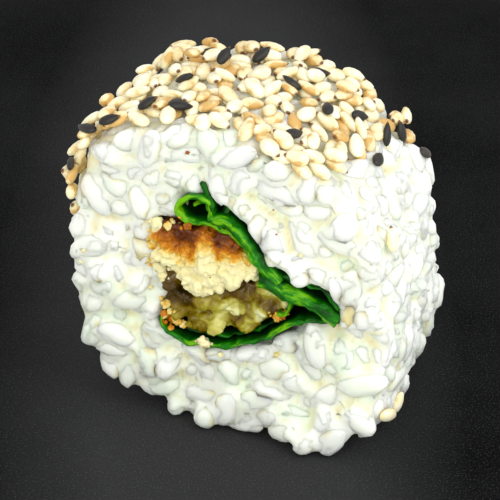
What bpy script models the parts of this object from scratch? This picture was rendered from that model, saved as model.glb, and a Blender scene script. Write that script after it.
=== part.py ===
"""One slice of an inside-out sushi roll (uramaki) lying on a small slate board.

The slice lies on its rounded side with a knife-cut face towards the front. A ring of
short-grain rice, pressed with sesame seeds over its top, holds a folded green leaf
that wraps a piece of fried food and a soft mash. The fillings run right through.
Units are metres, +Z is up, and the origin is on the floor under the board's middle.
"""

import math

import bmesh
import bpy
import numpy as np
from mathutils import Matrix, Vector, noise

MM = 0.001
GAP = 0.3 * MM

# Slate board
BOARD_WIDTH = 94 * MM
BOARD_LENGTH = 148 * MM
BOARD_THICKNESS = 5 * MM
BOARD_CORNER = 2 * MM
BOARD_CHIP = 1.1 * MM
BOARD_CHIP_SIZE = 2.6 * MM
BOARD_EDGE_STEPS = 76
# Rings up the board's edge: share of the thickness, and share of the chip's depth there
BOARD_LEVELS = ((0.0, 0.5), (0.3, 0.12), (0.72, 0.18), (1.0, 1.0))

# The roll's place on the board, and how far its axis is turned from the board's length
ROLL_PLACE = Vector((2.0 * MM, -47.0 * MM, BOARD_THICKNESS + GAP))
ROLL_TURN = math.radians(-20)

# Cross-section of the roll: a rounded square, each corner with its own radius
ROLL_LEFT = -20.5 * MM
ROLL_RIGHT = 18.2 * MM
ROLL_HEIGHT = 39.3 * MM
CORNER_TOP_LEFT = 10.0 * MM
CORNER_TOP_RIGHT = 19.3 * MM
CORNER_LOW_RIGHT = 6.0 * MM
CORNER_LOW_LEFT = 14.0 * MM
SLICE_THICKNESS = 23.0 * MM

# Rice: the bare core lies this far inside the grains' outer surface; the base is the
# part that rests on the board, between its full and its ended angle from straight down
CORE_INSET = 1.0 * MM
CORE_INSET_SEEDED = 0.5 * MM
CORE_INSET_BASE = 0.2 * MM
CORE_STEPS = 48
CORE_LAYERS = 5
CORE_CORNER = 1.2 * MM
CORE_BUMP = 0.3 * MM
CORE_BUMP_SIZE = 3.4 * MM
BASE_FULL = math.radians(28)
BASE_END = math.radians(40)
GRAIN_LENGTH = 5.9 * MM
GRAIN_WIDTH = 2.7 * MM
GRAIN_HEIGHT = 2.4 * MM
GRAIN_SPACING = 3.1 * MM
GRAIN_OVERHANG = 0.25 * MM
GRAIN_HOLE_GAP = 0.1 * MM
GRAIN_SIZES = (0.9, 1.1)
GRAIN_SUNK = (0.95, 1.15)
GRAIN_TILT = 0.2
GRAIN_BLUNT = 1.18
GRAIN_SEGMENTS = 5
GRAIN_RINGS = 4
GRAIN_TRIES = 14000
# Places along a grain where its clearance is tested, with its share of the width there
GRAIN_PROBES = ((-0.92, 0.45), (-0.55, 0.9), (0.0, 1.0), (0.55, 0.9), (0.92, 0.45))
# Grains aren't laid where the side faces down more steeply than this, on the board
STEEPEST_SIDE = -0.93

# Sesame: the seeds cover the outer side between these angles round the section's middle
SEED_LENGTH = 3.2 * MM
SEED_WIDTH = 1.9 * MM
SEED_HEIGHT = 1.1 * MM
SEED_SPACING = 2.6 * MM
SEED_TAPER = 0.75
SEED_TILT = 0.25
SEED_RAISED = 0.22 * MM
SEED_MARGIN = 1.6 * MM
SEED_TRIES = 4000
SEED_ZONE = (math.radians(54), math.radians(167))
SEED_FADE = math.radians(9)
# Grains of rice reach this far into the seeds' zone, in radians, at its right and left
GRAIN_IN_ZONE = (0.1, 0.08)

# Hole through the rice for the fillings, anticlockwise from the leaf's pointed right end
HOLE_OUTLINE = (
    (14.0, 17.9), (12.2, 21.6), (6.6, 23.0), (4.4, 25.4), (1.6, 29.4), (-1.6, 32.4),
    (-5.6, 32.2), (-7.9, 29.3), (-10.5, 27.6), (-10.6, 21.5), (-10.4, 15.0),
    (-9.4, 11.3), (-5.0, 10.0), (0.4, 11.0), (4.9, 13.0), (8.6, 15.9), (12.0, 16.6),
)
HOLE_STEPS = 48

# Leaf: the middle line of the sheet in section, from its lower left end round the
# fillings to the curled end at the top
LEAF_PATH = (
    (-8.7, 13.7), (-8.1, 12.4), (-4.9, 11.3), (0.0, 12.3), (4.1, 14.4), (7.6, 17.1),
    (10.6, 18.1), (12.4, 18.4), (11.0, 20.2), (5.7, 21.6), (3.0, 24.7), (-0.2, 28.2),
    (-3.0, 28.0), (-5.6, 28.2), (-6.3, 29.6), (-4.5, 30.9), (-2.0, 31.0),
)
LEAF_THICKNESS = 0.9 * MM
LEAF_WAVE = 0.14 * MM
LEAF_WAVE_SIZE = 2.6 * MM
LEAF_EDGE_WAVE = 0.5 * MM
LEAF_EDGE_WAVE_SIZE = 3.0 * MM
LEAF_STEPS = 46
LEAF_LAYERS = 4

# Fried piece and mash, anticlockwise from the right
FRIED_OUTLINE = (
    (2.9, 22.0), (0.6, 25.0), (-1.2, 26.6), (-5.2, 26.8), (-9.2, 26.3), (-9.7, 24.2),
    (-8.2, 21.5), (-6.0, 19.2), (-4.6, 18.3), (-2.2, 18.5), (-0.4, 19.4), (0.5, 21.2),
)
MASH_OUTLINE = (
    (6.6, 19.5), (3.2, 20.8), (0.9, 20.3), (-0.1, 18.6), (-2.2, 17.6), (-5.0, 17.6),
    (-6.9, 19.2), (-9.4, 20.9), (-9.4, 15.6), (-7.4, 14.4), (-6.6, 13.0), (-2.8, 12.9),
    (0.6, 13.8), (4.2, 15.7), (6.4, 17.6),
)
FRIED_REACH = (-12.1 * MM, 11.6 * MM)
MASH_REACH = (-10.0 * MM, 11.0 * MM)
FRIED_CRAG = 0.75 * MM
FRIED_CRAG_SIZE = 1.7 * MM
MASH_LUMP = 0.6 * MM
MASH_LUMP_SIZE = 2.4 * MM
FILLING_STEPS = 26
FILLING_LAYERS = 7
# A filling's domed ends: share of its outline at the tip and at the rim
END_SHARES = (0.45, 0.8)
END_RIM = 0.2 * MM
END_DEPTH = 1.0 * MM

RANDOM_SEED = 41
CURVE_STEPS = 24
HALVINGS = 30
TINY = 1e-12
# Relief is read at different places of the noise for each surface
LEAF_SALT = 5.0
BOARD_SALT = 7.0


def clear_scene():
    """Take every object out of the scene that Blender starts with."""
    for item in list(bpy.data.objects):
        bpy.data.objects.remove(item, do_unlink=True)


def make_material(name, colour, roughness):
    """A Principled material with one linear colour and one roughness."""
    material = bpy.data.materials.new(name)
    material.use_nodes = True
    shader = material.node_tree.nodes["Principled BSDF"]
    shader.inputs["Base Color"].default_value = (*colour, 1.0)
    shader.inputs["Roughness"].default_value = roughness
    shader.inputs["Metallic"].default_value = 0.0
    material.diffuse_color = (*colour, 1.0)
    return material


def make_object(name, mesh_data, material=None, collection=None):
    """Turn a bmesh into a named object and free the bmesh."""
    mesh = bpy.data.meshes.new(name)
    mesh_data.to_mesh(mesh)
    mesh_data.free()
    if material:
        mesh.materials.append(material)
    item = bpy.data.objects.new(name, mesh)
    (collection or bpy.context.scene.collection).objects.link(item)
    return item


def smooth_curve(points, count, closed):
    """Points at even spacing along a Catmull-Rom curve; control points are in mm."""
    knots = np.array(points, float) * MM
    if closed:
        knots = np.vstack([knots[-1], knots, knots[:2]])
    else:
        knots = np.vstack([2 * knots[0] - knots[1], knots, 2 * knots[-1] - knots[-2]])
    steps = np.linspace(0, 1, CURVE_STEPS, endpoint=False)[:, None]
    pieces = []
    for a, b, c, d in zip(knots, knots[1:], knots[2:], knots[3:]):
        pieces.append(0.5 * (2 * b + (c - a) * steps
                             + (2 * a - 5 * b + 4 * c - d) * steps ** 2
                             + (3 * b - a - 3 * c + d) * steps ** 3))
    line = np.vstack(pieces + [knots[-2][None]])
    travelled = np.concatenate([[0], np.cumsum(np.linalg.norm(np.diff(line, axis=0), axis=1))])
    wanted = np.linspace(0, travelled[-1], count + 1 if closed else count)
    if closed:
        wanted = wanted[:-1]
    return np.stack([np.interp(wanted, travelled, line[:, k]) for k in (0, 1)], axis=-1)


def section_distance(points):
    """Signed distance from the roll's rounded section, negative inside the rice."""
    middle = np.array([(ROLL_LEFT + ROLL_RIGHT) / 2, ROLL_HEIGHT / 2])
    half = np.array([(ROLL_RIGHT - ROLL_LEFT) / 2, ROLL_HEIGHT / 2])
    local = np.atleast_2d(points) - middle
    right = local[:, 0] > 0
    top = local[:, 1] > 0
    radius = np.where(top, np.where(right, CORNER_TOP_RIGHT, CORNER_TOP_LEFT),
                      np.where(right, CORNER_LOW_RIGHT, CORNER_LOW_LEFT))
    q = np.abs(local) - half + radius[:, None]
    return (np.minimum(q.max(axis=1), 0) + np.linalg.norm(np.maximum(q, 0), axis=1) - radius)


def section_point(angle, inset=0.0):
    """The point of the section, moved inward by inset, that is seen at an angle."""
    middle = np.array([(ROLL_LEFT + ROLL_RIGHT) / 2, ROLL_HEIGHT / 2])
    ray = np.array([math.cos(angle), math.sin(angle)])
    near, far = 0.0, ROLL_HEIGHT
    for _ in range(HALVINGS):
        reach = (near + far) / 2
        if section_distance(middle + ray * reach)[0] + inset < 0:
            near = reach
        else:
            far = reach
    return middle + ray * near


def section_normal(point):
    """Unit vector that points straight out of the section at a point."""
    steps = 0.05 * MM * np.eye(2)
    slope = [section_distance(point + step)[0] - section_distance(point - step)[0] for step in steps]
    return np.array(slope) / np.linalg.norm(slope)


def hole_clearance(points, outline):
    """Signed distance from the hole's outline, positive in the rice round it."""
    points = np.atleast_2d(points)
    start = outline
    end = np.roll(outline, -1, axis=0)
    edge = end - start
    to_point = points[:, None] - start[None]
    along = np.clip((to_point * edge).sum(-1) / (edge ** 2).sum(-1), 0, 1)
    distance = np.linalg.norm(to_point - along[..., None] * edge, axis=-1).min(axis=1)
    above = (start[:, 1] > points[:, None, 1]) != (end[:, 1] > points[:, None, 1])
    height = np.where(edge[:, 1] == 0, TINY, edge[:, 1])
    crossing = start[:, 0] + (points[:, None, 1] - start[:, 1]) * edge[:, 0] / height
    inside = (above & (points[:, None, 0] < crossing)).sum(axis=1) % 2 == 1
    return np.where(inside, -distance, distance)


def ease(value, low, high):
    """0 below low, 1 above high, and smooth between."""
    part = min(max((value - low) / (high - low), 0.0), 1.0)
    return part * part * (3 - 2 * part)


def core_inset(angle):
    """How far the core lies inside the outer surface at an angle round the section."""
    entered = ease(angle, SEED_ZONE[0] - SEED_FADE, SEED_ZONE[0])
    left = ease(angle, SEED_ZONE[1], SEED_ZONE[1] + SEED_FADE)
    seeded = entered * (1 - left)
    base = 1 - ease(abs(angle - math.radians(270)), BASE_FULL, BASE_END)
    inset = CORE_INSET + (CORE_INSET_SEEDED - CORE_INSET) * seeded
    return inset + (CORE_INSET_BASE - inset) * base


def relief(point, size, salt=0.0):
    """Smooth uneven value from -1 to 1 that changes over about this size."""
    return noise.noise(Vector(point) / size + Vector((salt, 1.7 * salt, 0.3)))


def make_core(hole):
    """The bare core of the rice: a thick ring with slightly uneven sides."""
    shape = bmesh.new()
    outer_rings = []
    inner_rings = []
    depth = SLICE_THICKNESS / 2 - CORE_INSET
    ends = (0, CORE_LAYERS - 1)
    hole_angles = [math.atan2(z - ROLL_HEIGHT / 2, x) % math.tau for x, z in hole]
    first = int(np.argmin(hole_angles))
    for layer in range(CORE_LAYERS):
        y = depth * (2 * layer / (CORE_LAYERS - 1) - 1)
        rounding = CORE_CORNER if layer in ends else 0.0
        ring = []
        for step in range(CORE_STEPS):
            angle = math.tau * step / CORE_STEPS
            x, z = section_point(angle, core_inset(angle) + rounding)
            bump = CORE_BUMP * relief((x, y, z), CORE_BUMP_SIZE)
            out = section_normal(np.array([x, z]))
            z_bumped = max(z + bump * out[1], CORE_INSET_BASE)
            ring.append(shape.verts.new((x + bump * out[0], y, z_bumped)))
        outer_rings.append(ring)
        if layer in ends:
            inner_rings.append([shape.verts.new((x, y, z)) for x, z in np.roll(hole, -first, axis=0)])
    walls = ((outer_rings, True), ((inner_rings[0], inner_rings[-1]), False))
    for rings, outward in walls:
        for low, high in zip(rings, rings[1:]):
            for k in range(len(low)):
                n = (k + 1) % len(low)
                quad = (low[k], low[n], high[n], high[k])
                shape.faces.new(quad if outward else quad[::-1])
    for end, front in ((0, True), (-1, False)):
        outer, inner = outer_rings[end], inner_rings[end]
        for k in range(CORE_STEPS):
            n = (k + 1) % CORE_STEPS
            quad = (outer[k], inner[k], inner[n], outer[n])
            shape.faces.new(quad if front else quad[::-1])
    bmesh.ops.triangulate(shape, faces=shape.faces[:])
    bmesh.ops.recalc_face_normals(shape, faces=shape.faces[:])
    return make_object("rice", shape)


def grain_shape():
    """A rice grain of unit size: a few-sided sphere with blunter ends, length along Z."""
    shape = bmesh.new()
    bmesh.ops.create_uvsphere(shape, u_segments=GRAIN_SEGMENTS, v_segments=GRAIN_RINGS, radius=0.5)
    shoulders = [vert for vert in shape.verts if 0.2 < abs(vert.co.z) < 0.45]
    bmesh.ops.scale(shape, verts=shoulders, vec=(GRAIN_BLUNT, GRAIN_BLUNT, 1.0))
    return shape


def seed_shape():
    """A sesame seed of unit size: a sphere of twenty triangles, narrower at one end."""
    shape = bmesh.new()
    bmesh.ops.create_icosphere(shape, subdivisions=1, radius=0.5)
    pointed = [vert for vert in shape.verts if 0.1 < vert.co.z < 0.45]
    bmesh.ops.scale(shape, verts=pointed, vec=(SEED_TAPER, SEED_TAPER, 1.0))
    return shape


def lay_piece(name, shape, centre, along, normal, size, collection):
    """Lay a unit shape in its place: its length along one direction, flat side to another."""
    length, width, height = size
    along = Vector(along).normalized()
    side = Vector(normal).cross(along).normalized()
    up = along.cross(side)
    frame = Matrix((side, up, along)).transposed().to_4x4()
    bmesh.ops.scale(shape, verts=shape.verts, vec=(width, height, length))
    bmesh.ops.triangulate(shape, faces=shape.faces[:])
    bmesh.ops.transform(shape, verts=shape.verts, matrix=Matrix.Translation(centre) @ frame)
    return make_object(name, shape, collection=collection)


def far_enough(centre, others, spacing):
    """True when no earlier centre is nearer than the spacing."""
    return not others or np.linalg.norm(np.array(others) - centre, axis=1).min() > spacing


def grain_fits(centre, along, hole):
    """True when a grain stays clear of the hole, above the board and in the roll's form."""
    for share, swell in GRAIN_PROBES:
        x, y, z = centre + np.array(along) * share * GRAIN_LENGTH / 2
        thick = swell * GRAIN_WIDTH / 2
        if z < GRAIN_SIZES[0] * thick:
            return False
        if abs(y) + thick > SLICE_THICKNESS / 2 + GRAIN_OVERHANG:
            return False
        if section_distance(np.array([x, z]))[0] + thick > GRAIN_OVERHANG:
            return False
        if hole_clearance(np.array([x, z]), hole)[0] < thick + GRAIN_HOLE_GAP:
            return False
    return True


def grow_grains(hole, collection, draw):
    """Short rice grains over both cut faces and the side where no seeds lie."""
    centres = []
    half = SLICE_THICKNESS / 2
    for attempt in range(GRAIN_TRIES):
        size = np.array([GRAIN_LENGTH, GRAIN_WIDTH, GRAIN_HEIGHT]) * draw.uniform(*GRAIN_SIZES)
        sunk = draw.uniform(*GRAIN_SUNK) * MM
        turn = draw.uniform(0, math.pi)
        tilt = draw.uniform(-GRAIN_TILT, GRAIN_TILT)
        if attempt % 3:
            side = -1 if attempt % 3 == 1 else 1
            x = draw.uniform(ROLL_LEFT, ROLL_RIGHT)
            z = draw.uniform(0, ROLL_HEIGHT)
            centre = np.array([x, side * (half - sunk), z])
            normal = np.array([0, side, 0])
            first, second = np.array([1.0, 0, 0]), np.array([0, 0, 1.0])
        else:
            angle = draw.uniform(0, math.tau)
            if SEED_ZONE[0] + GRAIN_IN_ZONE[0] < angle < SEED_ZONE[1] - GRAIN_IN_ZONE[1]:
                continue
            point = section_point(angle, sunk)
            out = section_normal(point)
            if out[1] < STEEPEST_SIDE:
                continue
            centre = np.array([point[0], draw.uniform(-1, 1) * half, point[1]])
            normal = np.array([out[0], 0, out[1]])
            first, second = np.array([0, 1.0, 0]), np.array([-out[1], 0, out[0]])
        along = first * math.cos(turn) + second * math.sin(turn) + normal * tilt
        along /= np.linalg.norm(along)
        if far_enough(centre, centres, GRAIN_SPACING) and grain_fits(centre, along, hole):
            name = f"grain_{len(centres):03d}"
            lay_piece(name, grain_shape(), centre, along, normal, size, collection)
            centres.append(centre)
    return len(centres)


def sow_seeds(collection, draw):
    """Sesame seeds pressed flat into the rice over the top of the roll."""
    centres = []
    half = SLICE_THICKNESS / 2
    for _ in range(SEED_TRIES):
        angle = draw.uniform(*SEED_ZONE)
        y = draw.uniform(-1, 1) * (half - SEED_MARGIN)
        turn = draw.uniform(0, math.pi)
        tilt = draw.uniform(-SEED_TILT, SEED_TILT)
        point = section_point(angle, CORE_INSET_SEEDED)
        out = section_normal(point)
        surface = Vector((point[0], y, point[1]))
        normal = Vector((out[0], 0, out[1]))
        centre = surface + normal * SEED_RAISED
        if not far_enough(np.array(centre), centres, SEED_SPACING):
            continue
        across = Vector((-out[1], 0, out[0]))
        along = Vector((0, 1, 0)) * math.cos(turn) + across * math.sin(turn) + normal * tilt
        size = (SEED_LENGTH, SEED_WIDTH, SEED_HEIGHT)
        name = f"seed_{len(centres):03d}"
        lay_piece(name, seed_shape(), centre, along, normal, size, collection)
        centres.append(np.array(centre))
    return len(centres)


def make_rice(hole, material):
    """The rice ring: core, grains and seeds joined into one closed body."""
    core = make_core(hole)
    pieces = bpy.data.collections.new("rice_pieces")
    bpy.context.scene.collection.children.link(pieces)
    draw = np.random.default_rng(RANDOM_SEED)
    grains = grow_grains(hole, pieces, draw)
    seeds = sow_seeds(pieces, draw)
    print(f"rice: {grains} grains and {seeds} seeds joined to the core")
    join = core.modifiers.new("join", "BOOLEAN")
    join.operation = "UNION"
    join.solver = "MANIFOLD"
    join.operand_type = "COLLECTION"
    join.collection = pieces
    bpy.context.view_layer.update()
    joined = bpy.data.meshes.new_from_object(core.evaluated_get(bpy.context.evaluated_depsgraph_get()))
    core.modifiers.clear()
    for item in list(pieces.objects):
        bpy.data.objects.remove(item, do_unlink=True)
    bpy.data.collections.remove(pieces)
    shape = bmesh.new()
    shape.from_mesh(joined)
    keep_largest_body(shape)
    bmesh.ops.triangulate(shape, faces=shape.faces[:])
    shape.to_mesh(core.data)
    shape.free()
    bpy.data.meshes.remove(joined)
    core.data.materials.clear()
    core.data.materials.append(material)
    return core


def keep_largest_body(shape):
    """Delete loose scraps and sealed hollows, keeping the biggest joined body."""
    shape.verts.ensure_lookup_table()
    unseen = set(shape.verts)
    bodies = []
    while unseen:
        start = unseen.pop()
        body = [start]
        for vert in body:
            for edge in vert.link_edges:
                other = edge.other_vert(vert)
                if other in unseen:
                    unseen.remove(other)
                    body.append(other)
        bodies.append(body)
    bodies.sort(key=len, reverse=True)
    loose = [vert for body in bodies[1:] for vert in body]
    bmesh.ops.delete(shape, geom=loose, context="VERTS")


def make_leaf(material):
    """The folded leaf: a thin sheet along its path, both faces split alike."""
    path = smooth_curve(LEAF_PATH, LEAF_STEPS, closed=False)
    tangent = np.gradient(path, axis=0)
    tangent /= np.linalg.norm(tangent, axis=1)[:, None]
    normal = np.stack([tangent[:, 1], -tangent[:, 0]], axis=-1)
    shape = bmesh.new()
    faces = {}
    for side in (-1, 1):
        for layer in range(LEAF_LAYERS):
            share = 2 * layer / (LEAF_LAYERS - 1) - 1
            for k, (x, z) in enumerate(path):
                edge = LEAF_EDGE_WAVE * relief((x, 0, z), LEAF_EDGE_WAVE_SIZE, share)
                y = share * (SLICE_THICKNESS / 2 + edge)
                wave = LEAF_WAVE * relief((x, y, z), LEAF_WAVE_SIZE, LEAF_SALT)
                offset = wave + side * LEAF_THICKNESS / 2
                place = (x + offset * normal[k, 0], y, z + offset * normal[k, 1])
                faces[side, layer, k] = shape.verts.new(place)
    last = LEAF_STEPS - 1
    for layer in range(LEAF_LAYERS - 1):
        for k in range(last):
            for side in (-1, 1):
                a, b = faces[side, layer, k], faces[side, layer, k + 1]
                c, d = faces[side, layer + 1, k + 1], faces[side, layer + 1, k]
                shape.faces.new((a, b, c))
                shape.faces.new((a, c, d))
        for k in (0, last):
            shape.faces.new((faces[-1, layer, k], faces[1, layer, k],
                             faces[1, layer + 1, k], faces[-1, layer + 1, k]))
    for layer in (0, LEAF_LAYERS - 1):
        for k in range(last):
            shape.faces.new((faces[-1, layer, k], faces[1, layer, k],
                             faces[1, layer, k + 1], faces[-1, layer, k + 1]))
    bmesh.ops.triangulate(shape, faces=shape.faces[:])
    bmesh.ops.recalc_face_normals(shape, faces=shape.faces[:])
    return make_object("leaf", shape, material)


def make_filling(name, outline, reach, crag, crag_size, material):
    """A filling that runs through the roll: its outline with crags cut into it."""
    rim = smooth_curve(outline, FILLING_STEPS, closed=True)
    middle = rim.mean(axis=0)
    shape = bmesh.new()
    rings = []
    inner = np.linspace(reach[0] + END_DEPTH, reach[1] - END_DEPTH, FILLING_LAYERS)
    profile = [(reach[0], END_SHARES[0]), (reach[0] + END_RIM, END_SHARES[1])]
    profile += [(y, 1.0) for y in inner]
    profile += [(reach[1] - END_RIM, END_SHARES[1]), (reach[1], END_SHARES[0])]
    for y, share in profile:
        ring = []
        for x, z in middle + (rim - middle) * share:
            cut = crag * (0.5 + 0.5 * relief((x, y, z), crag_size, len(name)))
            inward = Vector((middle[0] - x, 0, middle[1] - z)).normalized() * cut
            if share < 1.0:
                inward = Vector((0, math.copysign(cut, reach[0] + reach[1] - 2 * y), 0))
            ring.append(shape.verts.new(Vector((x, y, z)) + inward))
        rings.append(ring)
    for low, high in zip(rings, rings[1:]):
        for k in range(FILLING_STEPS):
            n = (k + 1) % FILLING_STEPS
            shape.faces.new((low[k], low[n], high[n], high[k]))
    for ring, y in ((rings[0], reach[0]), (rings[-1], reach[1])):
        tip = shape.verts.new((middle[0], y, middle[1]))
        for k in range(FILLING_STEPS):
            shape.faces.new((ring[k], ring[(k + 1) % FILLING_STEPS], tip))
    bmesh.ops.triangulate(shape, faces=shape.faces[:])
    bmesh.ops.recalc_face_normals(shape, faces=shape.faces[:])
    return make_object(name, shape, material)


def board_outline():
    """Points round the board's rectangle with its small corner radius."""
    half = (BOARD_WIDTH / 2 - BOARD_CORNER, BOARD_LENGTH / 2 - BOARD_CORNER)
    corners = ((1, 1, 0), (-1, 1, 90), (-1, -1, 180), (1, -1, 270))
    line = []
    for across, along, start in corners:
        for turn in range(0, 91, 30):
            angle = math.radians(start + turn)
            line.append((across * half[0] + BOARD_CORNER * math.cos(angle),
                         along * half[1] + BOARD_CORNER * math.sin(angle)))
    line = np.array(line + line[:1])
    travelled = np.concatenate([[0], np.cumsum(np.linalg.norm(np.diff(line, axis=0), axis=1))])
    wanted = np.linspace(0, travelled[-1], BOARD_EDGE_STEPS, endpoint=False)
    return np.stack([np.interp(wanted, travelled, line[:, k]) for k in (0, 1)], axis=-1)


def make_board(material):
    """The slate: flat above and below, with edges chipped back from the middle."""
    outline = board_outline()
    out = outline / np.linalg.norm(outline, axis=1)[:, None]
    shape = bmesh.new()
    rings = []
    for row, (share, chip) in enumerate(BOARD_LEVELS):
        ring = []
        for (x, y), (nx, ny) in zip(outline, out):
            uneven = 0.55 + 0.45 * relief((x, y, 0), BOARD_CHIP_SIZE, BOARD_SALT * row)
            cut = BOARD_CHIP * chip * uneven
            ring.append(shape.verts.new((x - nx * cut, y - ny * cut, share * BOARD_THICKNESS)))
        rings.append(ring)
    for low, high in zip(rings, rings[1:]):
        for k in range(BOARD_EDGE_STEPS):
            n = (k + 1) % BOARD_EDGE_STEPS
            shape.faces.new((low[k], low[n], high[n], high[k]))
    shape.faces.new(rings[0][::-1])
    shape.faces.new(rings[-1])
    bmesh.ops.triangulate(shape, faces=shape.faces[:])
    bmesh.ops.recalc_face_normals(shape, faces=shape.faces[:])
    return make_object("board", shape, material)


def main():
    """Build the board and, turned and placed on it, the slice with its fillings."""
    clear_scene()
    make_board(make_material("slate", (0.028, 0.029, 0.032), 0.8))
    hole = smooth_curve(HOLE_OUTLINE, HOLE_STEPS, closed=True)
    roll = bpy.data.objects.new("roll", None)
    bpy.context.scene.collection.objects.link(roll)
    roll.location = ROLL_PLACE
    roll.rotation_euler = (0, 0, ROLL_TURN)
    pieces = [
        make_rice(hole, make_material("cooked_rice", (0.86, 0.86, 0.80), 0.4)),
        make_leaf(make_material("green_leaf", (0.03, 0.16, 0.01), 0.35)),
        make_filling("fried_piece", FRIED_OUTLINE, FRIED_REACH, FRIED_CRAG, FRIED_CRAG_SIZE,
                     make_material("fried_crumb", (0.62, 0.33, 0.10), 0.7)),
        make_filling("mash", MASH_OUTLINE, MASH_REACH, MASH_LUMP, MASH_LUMP_SIZE,
                     make_material("soft_mash", (0.28, 0.20, 0.04), 0.4)),
    ]
    for piece in pieces:
        piece.parent = roll
    bpy.context.view_layer.update()
    for piece in pieces:
        print(piece.name, len(piece.data.polygons), "faces")


main()
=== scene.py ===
# %% [markdown]
# # An inside-out sushi roll on a slate board
#
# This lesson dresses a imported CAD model: a slate board, a ring of rice, a folded green
# leaf, a fried piece and a mash. The model gives every place and size, so the first cell
# loads it and notes its box. All pieces are in metres, +Z is up.

import math

import bmesh
import bpy
import numpy as np
from mathutils import Matrix, Vector, bvhtree, kdtree, noise


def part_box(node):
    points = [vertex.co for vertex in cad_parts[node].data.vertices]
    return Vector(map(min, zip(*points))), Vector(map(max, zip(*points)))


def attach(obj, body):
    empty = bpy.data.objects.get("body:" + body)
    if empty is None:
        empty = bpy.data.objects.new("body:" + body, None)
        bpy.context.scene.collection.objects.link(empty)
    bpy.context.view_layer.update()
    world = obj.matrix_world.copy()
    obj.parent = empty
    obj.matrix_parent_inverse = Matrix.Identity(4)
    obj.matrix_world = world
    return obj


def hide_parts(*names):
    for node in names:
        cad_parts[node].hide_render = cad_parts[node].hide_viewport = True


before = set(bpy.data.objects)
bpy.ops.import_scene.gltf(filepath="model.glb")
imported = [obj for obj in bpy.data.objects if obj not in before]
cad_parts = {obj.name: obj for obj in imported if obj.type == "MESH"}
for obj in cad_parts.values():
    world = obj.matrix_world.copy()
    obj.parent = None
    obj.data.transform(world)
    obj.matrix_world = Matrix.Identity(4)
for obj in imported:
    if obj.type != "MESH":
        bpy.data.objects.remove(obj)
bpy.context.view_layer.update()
MM = 0.001
scene = bpy.context.scene
print("nodes:", ", ".join(sorted(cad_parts)))

# %% [markdown]
# ## Where the roll lies
#
# The slice lies on its rounded side, with its axis turned a little from the board's
# length, so that the cut face looks to the front left. It is simplest to model everything
# in the roll's own frame, where the axis runs along Y and the board's top is at Z = 0, and
# to put the finished mesh in its place once. The section is a rounded square, each corner
# with a radius of its own, because a soft roll is never a perfect circle.

# %% The roll's own frame and its section
_, board_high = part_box("board")
GAP = 0.3 * MM
ROLL_PLACE = Vector((2.0 * MM, -47.0 * MM, board_high[2] + GAP))
ROLL_TURN = math.radians(-20)
ROLL_TO_WORLD = Matrix.Translation(ROLL_PLACE) @ Matrix.Rotation(ROLL_TURN, 4, "Z")

LEFT, RIGHT, HEIGHT = -20.5 * MM, 18.2 * MM, 39.3 * MM
HALF_THICK = 11.5 * MM
CORNERS = {(True, True): 19.3 * MM, (False, True): 10.0 * MM,
           (True, False): 6.0 * MM, (False, False): 14.0 * MM}
MIDDLE = np.array([(LEFT + RIGHT) / 2, HEIGHT / 2])
HALF_SIZE = np.array([(RIGHT - LEFT) / 2, HEIGHT / 2])


def section_distance(points):
    """Signed distance of (x, z) points from the section, negative inside the rice."""
    local = np.atleast_2d(points) - MIDDLE
    right, top = local[:, 0] > 0, local[:, 1] > 0
    radius = np.where(top, np.where(right, CORNERS[True, True], CORNERS[False, True]),
                      np.where(right, CORNERS[True, False], CORNERS[False, False]))
    q = np.abs(local) - HALF_SIZE + radius[:, None]
    return np.minimum(q.max(axis=1), 0) + np.linalg.norm(np.maximum(q, 0), axis=1) - radius


def section_normal(points):
    """Unit vectors that point straight out of the section."""
    points = np.atleast_2d(points)
    step = 0.02 * MM
    slope = [section_distance(points + np.eye(2)[k] * step)
             - section_distance(points - np.eye(2)[k] * step) for k in (0, 1)]
    slope = np.stack(slope, axis=1)
    return slope / np.maximum(np.linalg.norm(slope, axis=1), 1e-12)[:, None]


def section_point(angle, inset=0.0):
    """The section's point, moved inward by inset, seen from its middle at an angle."""
    ray = np.array([math.cos(angle), math.sin(angle)])
    near, far = 0.0, HEIGHT
    for _ in range(26):
        reach = (near + far) / 2
        inside = section_distance(MIDDLE + ray * reach)[0] + inset < 0
        near, far = (reach, far) if inside else (near, reach)
    return MIDDLE + ray * near


print(f"roll {1000 * (RIGHT - LEFT):.1f} x {1000 * HEIGHT:.1f} mm, {2000 * HALF_THICK:.0f} mm thick")

# %% [markdown]
# ## Helpers for meshes and materials
#
# A finished piece's object stays at the origin and its place is in its mesh, so that its
# patterns, which read Object coordinates, don't slide if it is ever exported. Colours are
# written as the sRGB hex values that a paint program shows, and one function turns them
# to the linear values that shaders need. Another adds a node with its settings and links.

# %% Mesh helpers
def as_mesh(name, shape):
    """Turn a bmesh into a mesh and free it."""
    mesh = bpy.data.meshes.new(name)
    shape.to_mesh(mesh)
    shape.free()
    return mesh


def as_object(name, data):
    """A new object in the scene for a mesh, a lamp or a camera."""
    item = bpy.data.objects.new(name, data)
    scene.collection.objects.link(item)
    return item


def finish_piece(name, shape, material, replaced):
    """Turn a bmesh into a smooth piece that rides on the only body."""
    mesh = as_mesh(name, shape)
    mesh.transform(ROLL_TO_WORLD)
    mesh.materials.append(material)
    mesh.shade_smooth()
    piece = as_object(name, mesh)
    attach(piece, "root")
    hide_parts(*replaced)
    print(f"{name}: {sum(len(face.vertices) - 2 for face in mesh.polygons)} triangles")


def mark(shape, name, value):
    """Store a float on each point of a bmesh; value is a function of the point."""
    layer = shape.verts.layers.float.new(name)
    for vert in shape.verts:
        vert[layer] = value(vert)


def clamped(value):
    """A value kept between 0 and 1."""
    return min(max(value, 0), 1)


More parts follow.
